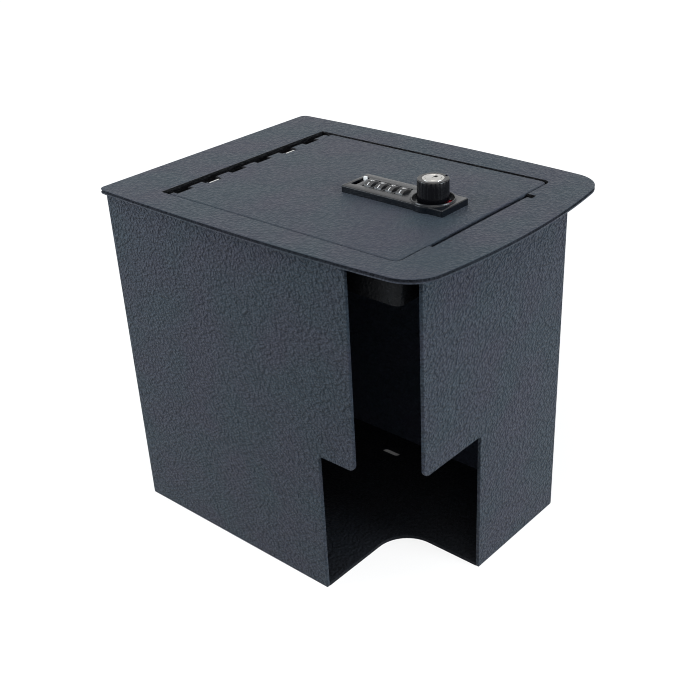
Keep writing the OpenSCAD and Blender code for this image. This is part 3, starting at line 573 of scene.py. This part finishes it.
front_c = np.array([0, FRONT_R - FRAME_D / 2])
side_front_c = np.array([FRAME_W / 2 - SIDE_FRONT_R, BULGE_Y])
side_back_c = np.array([FRAME_W / 2 - SIDE_BACK_R, BULGE_Y])
corner_c = meeting(side_front_c, SIDE_FRONT_R - CORNER_R, front_c, FRONT_R - CORNER_R)
back_y = FRAME_D / 2 - BACK_CORNER_R
back_c = np.array([side_back_c[0] + np.sqrt((SIDE_BACK_R - BACK_CORNER_R)**2
                                            - (back_y - BULGE_Y)**2), back_y])
right_half = np.concatenate([
    arc(front_c, FRONT_R, -90, bearing(front_c, corner_c), 16),
    arc(corner_c, CORNER_R, bearing(front_c, corner_c), bearing(side_front_c, corner_c), 16),
    arc(side_front_c, SIDE_FRONT_R, bearing(side_front_c, corner_c), 0, 12),
    arc(side_back_c, SIDE_BACK_R, 0, bearing(side_back_c, back_c), 8),
    arc(back_c, BACK_CORNER_R, bearing(side_back_c, back_c), 90, 8)])
left_half = (right_half * [-1, 1])[::-1]
frame_outline = loop(right_half, left_half)
print("frame outline:", len(frame_outline), "points")

# %% Frame opening
OPEN_X0, OPEN_X1, OPEN_Y0, OPEN_Y1 = -81.25, 77.25, -103.45, 96.55
RELIEF_X0, RELIEF_X1, RELIEF_Y = -52.5, 49.5, -106.45
PRY_X0, PRY_Y = 44.5, -109.95
OPEN_R = 5.0
opening = loop(
    arc((OPEN_X0 + OPEN_R, OPEN_Y0 + OPEN_R), OPEN_R, 270, 180),
    [(OPEN_X0, OPEN_Y1), (OPEN_X1, OPEN_Y1)],
    arc((OPEN_X1 - OPEN_R, OPEN_Y0 + OPEN_R), OPEN_R, 0, -90),
    [(RELIEF_X1, OPEN_Y0), (RELIEF_X1, PRY_Y), (PRY_X0, PRY_Y), (PRY_X0, RELIEF_Y),
     (RELIEF_X0, RELIEF_Y), (RELIEF_X0, OPEN_Y0)])
print("opening:", OPEN_X1 - OPEN_X0, "by", OPEN_Y1 - OPEN_Y0, "mm")

# %% Frame piece
FRAME_SOFT = 0.2
foot, brow = frame_low[2], frame_high[2]
inner_edge = soft_edge(foot, brow, FRAME_SOFT)
# Rows (inset, height) of the outer edge: the lower lip, the groove, then the brow.
rolled_edge = np.array([(0.5, foot), (0.15, foot + 0.1), (0, foot + 0.35), (0, foot + 1.0),
                        (0.2, foot + 1.2), (0.8, foot + 1.35), (0.85, brow - 0.6),
                        (0.4, brow - 0.42), (0, brow - 0.3), (0.05, brow - 0.12),
                        (0.25, brow)])
GROOVE_FROM, GROOVE_TO = 3, 8
frame_piece = make_piece("frame_plate", plate([frame_outline, opening],
                                              [rolled_edge, inner_edge]),
                         calm_shaded_coat, "tub", "top_frame")
# A plate's faces start with its sides: outline by outline, and row by row up each.
outer = len(frame_outline)
inner_from = (len(rolled_edge) - 1) * outer
finish_of = np.zeros(len(frame_piece.data.polygons), dtype=np.int32)
# The groove's rows wear painted shade, and the opening's inner wall near-black painted shade.
finish_of[GROOVE_FROM * outer:GROOVE_TO * outer] = 1
finish_of[inner_from:inner_from + (len(inner_edge) - 1) * len(opening)] = 2
refinish(frame_piece, finish_of, groove_shade_coat, black_and_shade_coat)

# %% [markdown]
# ## The lid
# The lid is a thinner plate. Six notches in its hinge edge leave room for the frame's knuckles,
# and two of them are deeper for the steel clips. The notches could be cut with booleans, but a
# loop that steps in and out keeps the edge's soft round, so the outline is built from a list of
# short runs, one for each notch. The edges on the hinge side and the right side lie in the
# gap's shade, so they are painted near-black as painted shade, like the hinge band.

# %% Lid outline
lid_low, lid_high = box_mm("lid_plate")
(LID_X0, LID_Y0), (LID_X1, LID_Y1) = lid_low[:2], lid_high[:2]
NOTCH_W, NOTCH_D, NOTCHES, FIRST_NOTCH = 12.4, 4.0, 6, 3.6
CLIP_NOTCHES, CLIP_SEAT_HALF, CLIP_SEAT_DEEP = (1, 4), 4.6, 2.5
LID_CORNER = 4.5
notch_floor = LID_Y1 - NOTCH_D
notch_left = LID_X0 + FIRST_NOTCH + 2 * NOTCH_W * np.arange(NOTCHES + 1)


def notch_run(left, with_clip):
    """A notch from its right end to its left end, with a deeper seat in its middle or not."""
    right, mid = left + NOTCH_W, left + NOTCH_W / 2
    run = [(right, LID_Y1), (right, notch_floor)]
    if with_clip:
        seat_right, seat_left = mid + CLIP_SEAT_HALF, mid - CLIP_SEAT_HALF
        seat_floor = notch_floor - CLIP_SEAT_DEEP
        run += [(seat_right, notch_floor), (seat_right, seat_floor),
                (seat_left, seat_floor), (seat_left, notch_floor)]
    return run + [(left, notch_floor), (left, LID_Y1)]


lid_outline = loop(
    arc((LID_X0 + LID_CORNER, LID_Y0 + LID_CORNER), LID_CORNER, 180, 270),
    arc((LID_X1 - LID_CORNER, LID_Y0 + LID_CORNER), LID_CORNER, 270, 360),
    [(LID_X1, notch_floor), (notch_left[-1], notch_floor), (notch_left[-1], LID_Y1)],
    *[notch_run(notch_left[k], k in CLIP_NOTCHES) for k in range(NOTCHES - 1, -1, -1)],
    [(LID_X0, LID_Y1)])
print("lid outline:", len(lid_outline), "points")

# %% Lid piece
LOCK_X, LOCK_Y, LOCK_CUT_X, LOCK_CUT_Y = 0.3, -42.95, 12.5, 39.5
LID_SOFT, LID_SOFT_STEPS = 0.9, 5
HINGE_SHADE, RIGHT_SHADE = 7, 1
lock_cut = hole(round_box((LOCK_X, LOCK_Y), LOCK_CUT_X, LOCK_CUT_Y, 0.3, 1))
lid_edge = soft_edge(lid_low[2], lid_high[2], LID_SOFT, LID_SOFT_STEPS)
lid_piece = make_piece("lid_sheet", plate([lid_outline, lock_cut], [lid_edge, lid_edge]),
                       calm_shaded_coat, "lid", "lid_plate")
run_middle = (lid_outline + np.roll(lid_outline, -1, axis=0)) / 2
# Edges near the hinge and on the right side wear the near-black coat as painted shade.
shaded = ((run_middle[:, 1] > LID_Y1 - HINGE_SHADE)
          | (run_middle[:, 0] > LID_X1 - RIGHT_SHADE))
bands = len(lid_edge) - 1
finish_of = np.zeros(len(lid_piece.data.polygons), dtype=np.int32)
finish_of[:bands * len(lid_outline)] = np.tile(shaded, bands)
refinish(lid_piece, finish_of, black_and_shade_coat)

# %% [markdown]
# ## The hinge clips
# Two clips of bare steel stand in the deeper notches, on the lid's hinge leaf, and shine there
# as thin bright lines. They are small plates with soft edges. Both are the same part, so they
# are made in one loop and kept as one piece. They are thinner than the CAD model's blocks.

# %% Hinge clips
CLIP_HALF, CLIP_THICK = 4.3, 1.1
clip_low, clip_high = box_mm("hinge_clips")
clip_y = clip_low[1] + CLIP_THICK / 2
clip_edge = soft_edge(clip_low[2], clip_high[2], 0.15)
clips = [plate([round_box((notch_left[k] + NOTCH_W / 2, clip_y), CLIP_HALF, CLIP_THICK / 2,
                          0.3, 3)], [clip_edge]) for k in CLIP_NOTCHES]
make_piece("bright_clips", together(*clips), bright_steel, "lid", "hinge_clips")

# %% [markdown]
# ## The folded walls
# The four walls are one sheet, folded round three upright bends. At the fourth corner each end
# of the sheet is cut to a step with round corners. Think of the sheet laid flat: u runs along
# it and z up. Its ends are the two step curves, and the columns between them are straight
# lines. Folding then sends u along a path round the tub, as a press brake does. Solidify gives
# the sheet its thickness, with the paler inside coat, painted light for the shaded inside, as a
# second finish, and Bevel softens the cut edges.

# %% Flat sheet and fold
tub_low, tub_high = box_mm("wall_wrap")
TUB_X0, TUB_Y0, TUB_X1, TUB_Y1, TUB_H = (*tub_low[:2], *tub_high[:2], tub_high[2])
SHEET, BEND, STEP_H, TAB_R, STEP_R = 2.6, 3.8, 108.0, 4.5, 3.0


def step_curve(narrow, wide):
    """Distance from the corner and height down an end: upright, tab, tread, fillet, upright."""
    return np.concatenate([
        np.linspace((narrow, TUB_H), (narrow, STEP_H + TAB_R), 8),
        arc((narrow + TAB_R, STEP_H + TAB_R), TAB_R, 180, 270, 8)[1:],
        np.linspace((narrow + TAB_R, STEP_H), (wide - STEP_R, STEP_H), 6)[1:],
        arc((wide - STEP_R, STEP_H - STEP_R), STEP_R, 90, 0, 8)[1:],
        np.linspace((wide, STEP_H - STEP_R), (wide, 0), 8)[1:]])


LEFT_NARROW, LEFT_WIDE, FRONT_NARROW, FRONT_WIDE = 38.5, 68.5, 21.5, 81.0
WELL_ABOVE, JUST_ABOVE = STEP_H + 70, STEP_H + 2
FLAT_FROM, LEFT_MID, BACK_MID, RIGHT_MID = 100.0, 30.0, -10.0, 10.0
left_end, front_end = step_curve(LEFT_NARROW, LEFT_WIDE), step_curve(FRONT_NARROW, FRONT_WIDE)
level = np.concatenate([np.linspace(TUB_H, WELL_ABOVE, 8),
                        np.linspace(WELL_ABOVE, JUST_ABOVE, 14)[1:],
                        np.linspace(JUST_ABOVE, STEP_H - STEP_R, 9)[1:],
                        np.linspace(STEP_H - STEP_R, 0, 8)[1:]])
fold = np.concatenate([
    [(TUB_X0, TUB_Y0 + FLAT_FROM), (TUB_X0, LEFT_MID)],
    arc((TUB_X0 + BEND, TUB_Y1 - BEND), BEND, 180, 90, 8), [(BACK_MID, TUB_Y1)],
    arc((TUB_X1 - BEND, TUB_Y1 - BEND), BEND, 90, 0, 8), [(TUB_X1, RIGHT_MID)],
    arc((TUB_X1 - BEND, TUB_Y0 + BEND), BEND, 0, -90, 8), [(TUB_X0 + FLAT_FROM, TUB_Y0)]])
rows, columns = len(level), len(fold) + 2
walls = np.empty((rows, columns, 3))
walls[:, 1:-1, :2] = fold
walls[:, 1:-1, 2] = level[:, None]
walls[:, 0] = np.column_stack([np.full(rows, TUB_X0), TUB_Y0 + left_end[:, 0], left_end[:, 1]])
walls[:, -1] = np.column_stack([TUB_X0 + front_end[:, 0], np.full(rows, TUB_Y0),
                                front_end[:, 1]])
wall_faces = grid_faces(rows, columns, round_columns=False)
print("sheet:", rows, "rows and", columns, "columns")

# %% Wall piece
WALL_SOFT, WALL_SOFT_STEPS, CUT_EDGE = 0.45, 3, 60
wall_piece = make_piece("folded_walls", (walls.reshape(-1, 3), [(wall_faces, True)]),
                        slate_coat, "tub", "wall_wrap")
wall_piece.data.materials.append(inside_lit_coat)
thick = wall_piece.modifiers.new("thickness", "SOLIDIFY")
thick.thickness, thick.offset, thick.material_offset = SHEET * MM, -1.0, 1
thick.use_even_offset = True
soft = wall_piece.modifiers.new("soft edges", "BEVEL")
soft.width, soft.segments = WALL_SOFT * MM, WALL_SOFT_STEPS
soft.angle_limit = np.radians(CUT_EDGE)
soft.harden_normals = True

# %% [markdown]
# ## The lock's case
# The case is a thick casting, so it is stacked from slabs that share one outline: a
# rectangle with a round bulge on both long sides, where the ring round the knob sticks out.
# The top slab has a chamfer, four wheel windows and the slider's slot. Round the knob a turned
# lip stands up, and inside it a thin dish floor has a window over the red flag. Below the lid
# the case is a plain block with a chamber for the wheels. Slabs are used because every one of
# them is a plate, and the joints between them can't be seen.

# %% Lock sizes
KNOB_Y, RING_R, DISH_R, SKIRT_R, BORE_R = -66.65, 14.8, 13.4, 13.3, 6.05
PLATE_HALF_X, PLATE_HALF_Y, FACE_CORNER_R = 13.6, 40.7, 1.0
FIRST_WHEEL, WHEEL_PITCH, FIRST_SLIDER = 14.6, 8.75, 4.8
LID_TOP = lid_high[2]
PLATE_TOP = LID_TOP + 4.4
SKIN_Z, DISH_Z = PLATE_TOP - 1.2, PLATE_TOP - 1.5
WHEEL_Y = LOCK_Y + PLATE_HALF_Y - FIRST_WHEEL - WHEEL_PITCH * np.arange(4)
SLIDER_Y = LOCK_Y + PLATE_HALF_Y - FIRST_SLIDER
CASE_Z = LID_TOP - 17.4
CHANNEL_Z = CASE_Z + 6.3
CHAMBER_X, CHAMBER_Y, CHAMBER_PAST, CHANNEL_X = 8.2, 16.825, 3.7, 2.3
lock_at, knob_at = np.array([LOCK_X, LOCK_Y]), np.array([LOCK_X, KNOB_Y])
slider_at, wheels_at = (LOCK_X, SLIDER_Y), (LOCK_X, WHEEL_Y.mean())
print("wheels at y", np.round(WHEEL_Y, 2), "and face at z", round(PLATE_TOP, 2))

# %% Face outline
CIRCLE_POINTS = 72


def circle(radius):
    """Anticlockwise circle round the knob's axis."""
    return arc(knob_at, radius, 0, 360 * (1 - 1 / CIRCLE_POINTS), CIRCLE_POINTS - 1)


swell = np.degrees(np.arccos(PLATE_HALF_X / RING_R))
corner = np.array([PLATE_HALF_X, PLATE_HALF_Y]) - FACE_CORNER_R
face_outline = loop(
    arc(lock_at + corner * [-1, -1], FACE_CORNER_R, 180, 270),
    arc(lock_at + corner * [1, -1], FACE_CORNER_R, 270, 360),
    arc(knob_at, RING_R, -swell, swell, 10),
    arc(lock_at + corner, FACE_CORNER_R, 0, 90),
    arc(lock_at + corner * [-1, 1], FACE_CORNER_R, 90, 180),
    arc(knob_at, RING_R, 180 - swell, 180 + swell, 10))
print("lock outline:", len(face_outline), "points")


# %% Face plate
def straight(z0, z1):
    """Rows of a plain upright edge."""
    return np.array([(0, z0), (0, z1)])


chamfer = np.array([(0, SKIN_Z), (0, PLATE_TOP - 0.45), (0.04, PLATE_TOP - 0.34),
                    (0.34, PLATE_TOP - 0.04), (0.45, PLATE_TOP)])
window_edge = soft_edge(SKIN_Z, PLATE_TOP, 0.25)
windows = [hole(round_box((LOCK_X, y), 6.3, 3.1, 0.5)) for y in WHEEL_Y]
slot_cut = hole(round_box((LOCK_X, SLIDER_Y - 0.2), 7.3, 2.1, 0.9))
skin = plate([face_outline, *windows, slot_cut, hole(circle(DISH_R))],
             [chamfer] + [window_edge] * 5 + [straight(SKIN_Z, PLATE_TOP)])
chamber = hole(round_box(wheels_at, CHAMBER_X, CHAMBER_Y, 0.3, 1))
pocket = hole(round_box(slider_at, 8.5, 3.3, 0.3, 1))
skirt = plate([face_outline, chamber, pocket, hole(circle(SKIRT_R))],
              [straight(LID_TOP, SKIN_Z)] * 4)
slot_floor = plate([round_box(slider_at, 8.6, 3.4, 0.3, 1)],
                   [straight(LID_TOP, PLATE_TOP - 3.1)])

# %% Dish and ring lip
FLAG_OUTER, FLAG_INNER, FLAG_FROM, FLAG_TO = 12.8, 9.1, -90, -42
flag_window = hole(loop(arc(knob_at, FLAG_OUTER, FLAG_FROM, FLAG_TO, 12),
                        arc(knob_at, FLAG_INNER, FLAG_TO, FLAG_FROM, 12)))
dish_floor = plate([circle(DISH_R), hole(circle(BORE_R)), flag_window],
                   [straight(DISH_Z - 0.5, DISH_Z)] * 3)
dish_foot = plate([circle(DISH_R), hole(circle(BORE_R))], [straight(LID_TOP, LID_TOP + 1)] * 2)
lip = turned([(13.2, DISH_Z - 0.3), (14.7, SKIN_Z + 0.2), (14.7, PLATE_TOP + 0.05),
              (14.3, PLATE_TOP + 0.35), (14.2, PLATE_TOP + 0.8), (14.05, PLATE_TOP + 1.05),
              (13.75, PLATE_TOP + 1.15), (13.45, PLATE_TOP + 1.05), (13.25, PLATE_TOP + 0.8),
              (13.2, PLATE_TOP)], knob_at)

# %% Block below the lid, and the whole case
SCREW_X, SCREW_R = 10.2, 1.3
case_foot = box_mm("lock_case")[0][2]
block = round_box(lock_at, 12.2, 39.2, 0.6, 3)
screw_holes = [hole(round_box((LOCK_X + side * SCREW_X, WHEEL_Y.mean()), SCREW_R, SCREW_R,
                              1.29, 6)) for side in (-1, 1)]
upper = plate([block, chamber, hole(circle(BORE_R)), *screw_holes],
              [straight(CHANNEL_Z, LID_TOP)] * 5)
half_channel = np.degrees(np.arcsin(CHANNEL_X / BORE_R))
near_end, far_end = WHEEL_Y[-1] - CHAMBER_PAST, WHEEL_Y[0] + CHAMBER_PAST
keyhole_cut = hole(loop(
    arc(knob_at, BORE_R, 90 + half_channel, 450 - half_channel, 40),
    [(LOCK_X + CHANNEL_X, near_end), (LOCK_X + CHAMBER_X, near_end),
     (LOCK_X + CHAMBER_X, far_end), (LOCK_X - CHAMBER_X, far_end),
     (LOCK_X - CHAMBER_X, near_end), (LOCK_X - CHANNEL_X, near_end)]))
lower = plate([block, keyhole_cut, *screw_holes],
              [soft_edge(CASE_Z, CHANNEL_Z, 0.4)] + [straight(CASE_Z, CHANNEL_Z)] * 3)
boss = turned([(BORE_R, case_foot), (8.2, case_foot), (8.5, case_foot + 0.3),
               (8.5, CASE_Z), (BORE_R, CASE_Z)], knob_at)
make_piece("lock_casting",
           together(skin, skirt, dish_floor, dish_foot, slot_floor, lip, upper, lower, boss),
           cast_black, "lid", "lock_case")

# %% [markdown]
# ## The knob
# The knob is turned, then fluted all round for grip. Its radius is a function of angle and
# height: a cylinder less the cut of the nearest flute, which is a circle of its own just
# outside the knob. The flutes are very shallow and run out into the bevelled rim. The rim is
# flat, and one small pit in it is the pointer. The rows run up the side, over the rim, and down
# the seat of the key barrel. Cutting the flutes as booleans would leave ragged edges.

# %% Knob profile
knob_low, knob_high = box_mm("lock_knob")
KNOB_R, KNOB_TOP, KNOB_FOOT = 10.1, knob_high[2], knob_low[2]
KNOB_SEAT_R, KNOB_SEAT_DEEP = 7.15, 12.0
profile = np.array(
    [(6.0, KNOB_FOOT), (9.3, KNOB_FOOT), (9.7, KNOB_FOOT + 0.1), (10.0, KNOB_FOOT + 0.3),
     (KNOB_R, KNOB_FOOT + 0.6)]
    + [(KNOB_R, rise) for rise in np.linspace(KNOB_FOOT + 4, KNOB_TOP - 1.0, 4)]
    + [(10.05, KNOB_TOP - 0.7), (9.95, KNOB_TOP - 0.4), (9.8, KNOB_TOP - 0.15),
       (9.6, KNOB_TOP), (9.5, KNOB_TOP), (8.4, KNOB_TOP), (8.3, KNOB_TOP),
       (7.6, KNOB_TOP), (7.25, KNOB_TOP - 0.08), (KNOB_SEAT_R, KNOB_TOP - 0.25),
       (KNOB_SEAT_R, KNOB_TOP - KNOB_SEAT_DEEP), (0.05, KNOB_TOP - KNOB_SEAT_DEEP)])
print("knob:", round(KNOB_TOP - KNOB_FOOT, 2), "mm high")

# %% Knob piece
FLUTES, FLUTE_R, FLUTE_OUT, FLUTED_FROM = 24, 1.1, 0.93, 8.95
POINTER, PIT_HALF, PIT_DEEP, PIT_FROM, PIT_TO = np.radians(-27), 1.3, 1.3, 8.38, 9.55
KNOB_COLUMNS = 384
theta = np.arange(KNOB_COLUMNS) * 2 * np.pi / KNOB_COLUMNS
r, z = profile.T[:, :, None]
cut = grooved(theta, KNOB_R, FLUTES, FLUTE_R, FLUTE_OUT, -np.pi / FLUTES)
radius = np.where(r > FLUTED_FROM, np.minimum(r, cut), r)
aside = np.abs(radius * np.sin(theta - POINTER))
in_pit = ((aside < PIT_HALF) & (np.cos(theta - POINTER) > 0)
          & (r > PIT_FROM) & (r < PIT_TO))
height = np.where(in_pit, np.minimum(z, KNOB_TOP - PIT_DEEP), z + 0 * theta)
grid = np.stack([LOCK_X + radius * np.cos(theta), KNOB_Y + radius * np.sin(theta), height], -1)
knob_faces = grid_faces(len(profile), KNOB_COLUMNS, round_rows=True)
make_piece("knob_grip", (grid.reshape(-1, 3), [(knob_faces, True)]), knob_black, "knob",
           "lock_knob", crease=40)

# %% [markdown]
# ## Key barrel and plug
# The barrel is a nickel cup pressed into the knob, a little proud of it. The plug turns in the
# cup, and its keyway is a narrow slit with a wider part, cut right through the plug's face. A
# dark picture of a keyhole would look flat when it turns, so the keyway is a real hole. Wafers
# painted black fill it below its mouth, as painted shade in the keyway's depth.

# %% Barrel
BARREL_TOP = box_mm("key_barrel")[1][2]
make_piece("key_cup", turned(
    [(0.05, BARREL_TOP - 12.2), (7.1, BARREL_TOP - 12.2), (7.1, BARREL_TOP - 0.5),
     (7.0, BARREL_TOP - 0.22), (6.7, BARREL_TOP - 0.04), (6.4, BARREL_TOP),
     (5.5, BARREL_TOP), (5.25, BARREL_TOP - 0.06), (5.1, BARREL_TOP - 0.25),
     (5.05, BARREL_TOP - 0.6), (5.05, BARREL_TOP - 11.0), (0.05, BARREL_TOP - 11.0)], knob_at),
    nickel, "knob", "key_barrel")

# %% Plug and wafers
PLUG_R, FACE_DEEP = 5.0, 8
keyway = hole(loop([(-1.6, -0.3), (0.8, -0.3), (0.8, -1.8), (3.6, -1.8), (3.6, -0.6),
                    (4.2, -0.6), (4.2, 0.5), (3.6, 0.5), (3.6, 1.0), (0.8, 1.0), (0.8, 0.3),
                    (-1.6, 0.3)]) + knob_at)
plug_z0, plug_z1 = [corner[2] for corner in box_mm("key_plug")]
face_foot = plug_z1 - FACE_DEEP
mouth = np.array([(0, face_foot), (0, plug_z1 - 0.2), (-0.15, plug_z1)])
plug_top = plate([circle(PLUG_R), keyway], [soft_edge(face_foot, plug_z1, 0.3), mouth])
plug_foot = plate([circle(PLUG_R)], [straight(plug_z0, face_foot)])
make_piece("key_core", together(plug_top, plug_foot), nickel, "key", "key_plug")
# The wafers are black as painted shade deep in the keyway.
wafers = plate([inset(keyway, 0.03)[::-1]], [straight(plug_z1 - 8.1, plug_z1 - 0.6)])
make_piece("key_wafers_shade", wafers, wheel_black, "key")

# %% [markdown]
# ## Code wheels
# Each wheel is round, with the figures 0 to 9 on its rim and a finger groove between each two.
# It is a grid again: columns round the wheel, rows across its rim. The figures could be a
# picture on the rim, but real shapes stay sharp in a close view. They come from Blender's own
# font, made into a flat mesh. Wrapping bends x and y of a figure onto the rim: y becomes an
# angle round the axle, and x runs along it. All ten figures of a wheel are one white piece.

# %% Wheel shape
FIGURES, FIRST_FIGURE = 10, 82.0
WHEEL_R, WHEEL_HALF, WHEEL_BORE, WHEEL_PROUD, WHEEL_COLUMNS = 7.4, 2.9, 1.55, 1.9, 240
GROOVE_R, GROOVE_OUT = 0.95, 0.5
AXLE_Z = PLATE_TOP + WHEEL_PROUD - WHEEL_R
half_rim = np.array([(WHEEL_BORE, WHEEL_HALF), (7.0, WHEEL_HALF), (7.2, 2.85), (7.35, 2.7),
                     (WHEEL_R, 2.4)])


def wheel_shape(y):
    """Rows (radius, across) swept round the axle, no row past the radius of the grooved rim."""
    theta = np.arange(WHEEL_COLUMNS) * 2 * np.pi / WHEEL_COLUMNS
    rim = grooved(theta, WHEEL_R, FIGURES, GROOVE_R, GROOVE_OUT, np.radians(FIRST_FIGURE))
    rows = np.concatenate([half_rim * [1, -1], half_rim[::-1]])
    r, across = rows.T[:, :, None]
    r = np.minimum(r, rim)
    points = np.stack([LOCK_X + r * np.cos(theta), y + across + 0 * theta,
                       AXLE_Z + r * np.sin(theta)], axis=-1)
    quads = grid_faces(len(rows), WHEEL_COLUMNS, round_rows=True)[:, ::-1]
    return points.reshape(-1, 3), [(quads, True)]


# %% Figure shapes
FIGURE_SIZE, FIGURE_BOLD, FIGURE_WIDE, FIGURE_PROUD = 4.1, 0.04, 1.15, 0.02
BAND_HEIGHTS = np.arange(-1.6, 1.7, 0.4)


def flat_figure(text):
    """Points and triangles of one figure in mm, cut into level bands so that it can bend."""
    words = bpy.data.curves.new("figure", "FONT")
    words.body, words.size, words.offset = text, FIGURE_SIZE, FIGURE_BOLD
    words.align_x, words.align_y, words.resolution_u = "CENTER", "CENTER", 4
    shown = bpy.data.objects.new("figure", words)
    bpy.context.scene.collection.objects.link(shown)
    mesh = bpy.data.meshes.new_from_object(shown.evaluated_get(
        bpy.context.evaluated_depsgraph_get()))
    bands = bmesh.new()
    bands.from_mesh(mesh)
    for height in BAND_HEIGHTS:
        bmesh.ops.bisect_plane(bands, geom=bands.verts[:] + bands.edges[:] + bands.faces[:],
                               plane_co=(0, height, 0), plane_no=(0, 1, 0))
    bands.to_mesh(mesh)
    bands.free()
    mesh.calc_loop_triangles()
    points = np.empty(len(mesh.vertices) * 3)
    tris = np.empty(len(mesh.loop_triangles) * 3, dtype=np.int32)
    mesh.vertices.foreach_get("co", points)
    mesh.loop_triangles.foreach_get("vertices", tris)
    bpy.data.objects.remove(shown)
    bpy.data.meshes.remove(mesh)
    bpy.data.curves.remove(words)
    points = points.reshape(-1, 3)
    points[:, :2] -= (points[:, :2].max(axis=0) + points[:, :2].min(axis=0)) / 2
    points[:, 0] *= FIGURE_WIDE
    return points, tris.reshape(-1, 3)


def on_rim(figure, y, angle):
    """Figure wrapped on a rim: its x runs along -Y, its y back round the axle."""
    points, tris = figure
    turn = np.radians(angle) - points[:, 1] / WHEEL_R
    r = WHEEL_R + FIGURE_PROUD + points[:, 2]
    wrapped = np.stack([LOCK_X + r * np.cos(turn), y - points[:, 0], AXLE_Z + r * np.sin(turn)],
                       axis=1)
    return wrapped, [(tris, False)]


# %% Wheel pieces
figures = [flat_figure(str(k)) for k in range(FIGURES)]
for number, y in enumerate(WHEEL_Y, start=1):
    body = f"wheel_{number}"
    make_piece(f"wheel_rim_{number}", wheel_shape(y), wheel_black, body,
               f"code_wheel_{number}", crease=35)
    ring = together(*[on_rim(figure, y, FIRST_FIGURE + 360 / FIGURES * k)
                      for k, figure in enumerate(figures)])
    make_piece(f"wheel_figures_{number}", ring, figure_white, body)

# %% [markdown]
# ## The slider
# A small white button frees the wheels for a new code. It stands on a black foot that slides in
# the pocket under the slot. Both are plates, and two pieces rather than one with two colours,
# because each then has a finish of its own. The button is smaller than the CAD model's block.

# %% Slider pieces
BUTTON_X, BUTTON_Y, BUTTON_PROUD, BUTTON_OFF = 0.95, 1.0, 1.4, 0.3
FOOT_X, FOOT_Y, FOOT_TOP = 3.0, 3.1, SKIN_Z - 0.2
slider_low, slider_high = box_mm("code_slider")
slider_x = (slider_low[0] + slider_high[0]) / 2
button = plate([round_box((slider_x, SLIDER_Y - BUTTON_OFF), BUTTON_X, BUTTON_Y, 0.12)],
               [soft_edge(FOOT_TOP, PLATE_TOP + BUTTON_PROUD, 0.1)])
make_piece("slider_button", button, slider_white, "slider", "code_slider")
slider_foot = plate([round_box((slider_x, SLIDER_Y), FOOT_X, FOOT_Y, 0.3)],
                    [straight(slider_low[2], FOOT_TOP)])
make_piece("slider_foot", slider_foot, wheel_black, "slider")
